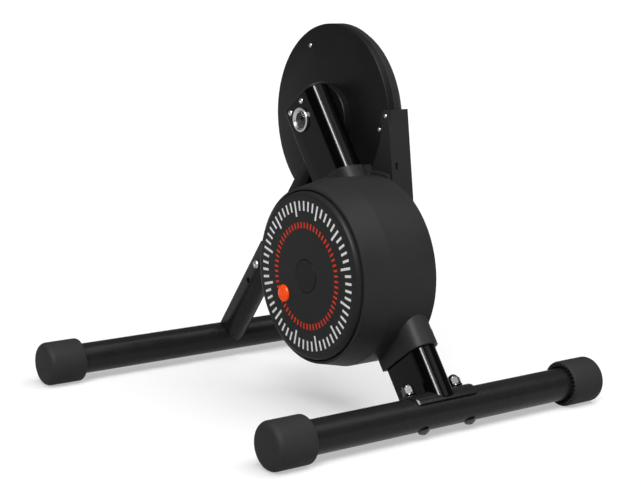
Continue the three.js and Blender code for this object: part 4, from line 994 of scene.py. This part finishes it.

# Hub cap: a thin round plug of the belt cover's smooth plastic, whose darker tone is painted shade, pressed
# into the middle of the front cover.
# It is flush with the cover but for a fine groove round it.
plug = [(0, -0.0842), (0.0191, -0.0842), (0.0195, -0.0838), (0.0195, -0.0817), (0, -0.0817)]
hub_plug = turned("hub_plug", plug, DRUM, FLAT)
fit(smooth(hub_plug), "frame", "black_plastic", cover_plastic_painted_shade, "hub_cap")

# Status lens: a low dome of smooth orange plastic over the trainer's lamp, set in a round hole of the front
# cover. Its material carries a faint painted glow, an emission that lifts the orange to a flat bright tone;
# no light source lights it.
lens_orange_painted_glow = finish(
    "orange lens",
    (0.93, 0.075, 0.001),
    (0.98, 0.085, 0.0015),
    (0.28, 0.34),
    grain=0.001,
    depth=0.000004,
    patch=0.01,
    Specular_IOR_Level=0.2,
    # painted glow: this emission brightens the lens's orange and is not light from a lamp
    Emission_Color=(1.0, 0.07, 0.001, 1),
    Emission_Strength=0.22,
)
LENS_RADIUS, LENS_RISE = 0.0104, 0.005
angles = [math.radians(a) for a in range(0, 91, 9)]
dome = [(LENS_RADIUS * math.sin(a), FRONT_FACE - LENS_RISE * math.cos(a)) for a in angles]
dome += [(LENS_RADIUS, FRONT_BACK), (0, FRONT_BACK)]
lens = turned("lamp_lens", dome, LENS, FLAT, steps=64)
fit(smooth(lens), "frame", "orange_lens", lens_orange_painted_glow, "status_lens")

# Pieces inside the drum and the belt cover keep their CAD shapes and get their metals and plastics: a cast
# flywheel, the brake's iron and copper, bearings, belt, tensioner and circuit board.
cast_iron = finish(
    "cast iron",
    (0.09, 0.09, 0.092),
    (0.16, 0.16, 0.163),
    (0.5, 0.65),
    grain=0.0014,
    depth=0.0001,
    patch=0.01,
    Metallic=0.9,
)
copper_wire = finish(
    "enamelled copper",
    (0.55, 0.2, 0.07),
    (0.68, 0.27, 0.1),
    (0.25, 0.4),
    grain=0.0008,
    depth=0.00008,
    patch=0.006,
    Metallic=1.0,
)
belt_rubber = finish(
    "ribbed belt rubber", (0.012, 0.012, 0.012), (0.02, 0.02, 0.02), (0.7, 0.85), grain=0.0009, depth=0.00006)
solder_mask = finish(
    "green solder mask", (0.008, 0.07, 0.025), (0.015, 0.11, 0.04), (0.3, 0.45), grain=0.002, patch=0.004)
inside = {
    cast_iron: ("flywheel", "brake_core"),
    copper_wire: ("brake_coil_1", "brake_coil_2", "brake_coil_3", "brake_coil_4"),
    belt_rubber: ("drive_belt",),
    solder_mask: ("control_board",),
    aluminium: ("brake_bracket",),
    zinc: ("tensioner_arm", "tensioner_pin"),
    shell_plastic: ("idler_pulley", "power_inlet"),
    steel: (
        "hub_bearing_left",
        "hub_bearing_right",
        "ratchet_ring",
        "freehub_bearing_left",
        "freehub_bearing_right",
        "pawl_1",
        "pawl_2",
        "pawl_3",
        "flywheel_shaft",
        "shaft_bearing_left",
        "shaft_bearing_right",
        "small_pulley",
    ),
}
for material, names in inside.items():
    for name in names:
        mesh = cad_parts[name].data
        mesh.materials.clear()
        mesh.materials.append(material)

# Floor, lamps and world: a plain pale studio with soft light from above and from behind the camera. A long
# strip lamp shows only in reflections, and gives the post its bright line.
FLOOR_GLOW, WORLD_STRENGTH = 0.45, 0.12
deselect()
bpy.ops.mesh.primitive_plane_add(size=200)
floor = bpy.context.object
floor.name = "floor"
paper = bpy.data.materials.new("white paper")
paper.use_nodes = True
floor.data.materials.append(paper)
tree = paper.node_tree
shader = tree.nodes["Principled BSDF"]
shader.inputs["Base Color"].default_value = (0.6, 0.6, 0.6, 1)
shader.inputs["Roughness"].default_value = 1
shader.inputs["Specular IOR Level"].default_value = 0
shader.inputs["Emission Color"].default_value = (1, 1, 1, 1)
rays = node(tree, "LightPath").outputs
seen = maths(tree, "ADD", maths(tree, "ADD", rays["Is Camera Ray"], rays["Is Glossy Ray"]),
             rays["Is Transmission Ray"])
tree.links.new(maths(tree, "MULTIPLY", seen, FLOOR_GLOW), shader.inputs["Emission Strength"])

world = bpy.data.worlds.new("studio")
bpy.context.scene.world = world
world.use_nodes = True
world.node_tree.nodes["Background"].inputs["Color"].default_value = (1, 1, 1, 1)
world.node_tree.nodes["Background"].inputs["Strength"].default_value = WORLD_STRENGTH


def lamp(name, strength, size, azimuth, height):
    """A far soft lamp. Azimuth 0 stands on the +Y side and 90 on the -X side, in degrees."""
    light = bpy.data.objects.new(name, bpy.data.lights.new(name, "SUN"))
    bpy.context.scene.collection.objects.link(light)
    light.data.energy = strength
    light.data.angle = math.radians(size)
    light.rotation_euler = (math.radians(height - 90), 0, math.radians(azimuth))


lamp("top lamp", 1.8, 50, 215, 65)
lamp("side lamp", 1.6, 30, 135, 48)
strip = bpy.data.objects.new("strip lamp", bpy.data.lights.new("strip lamp", "AREA"))
bpy.context.scene.collection.objects.link(strip)
strip.data.shape = "RECTANGLE"
strip.data.size, strip.data.size_y = 0.42, 1.5
strip.data.energy = 260
strip.visible_diffuse = False
strip.location = (-1.62, -1.40, 2.34)
STRIP_TARGET, STRIP_LENGTHWISE = point_on(POST_LEAN, -0.19, 0.0242), Vector((0.115, 0.703, 0.692))
ahead = (STRIP_TARGET - strip.location).normalized()
along = (STRIP_LENGTHWISE - ahead * STRIP_LENGTHWISE.dot(ahead)).normalized()
strip.rotation_euler = Matrix((along.cross(-ahead), along, -ahead)).transposed().to_euler()

bpy.context.scene.view_settings.view_transform = "Standard"
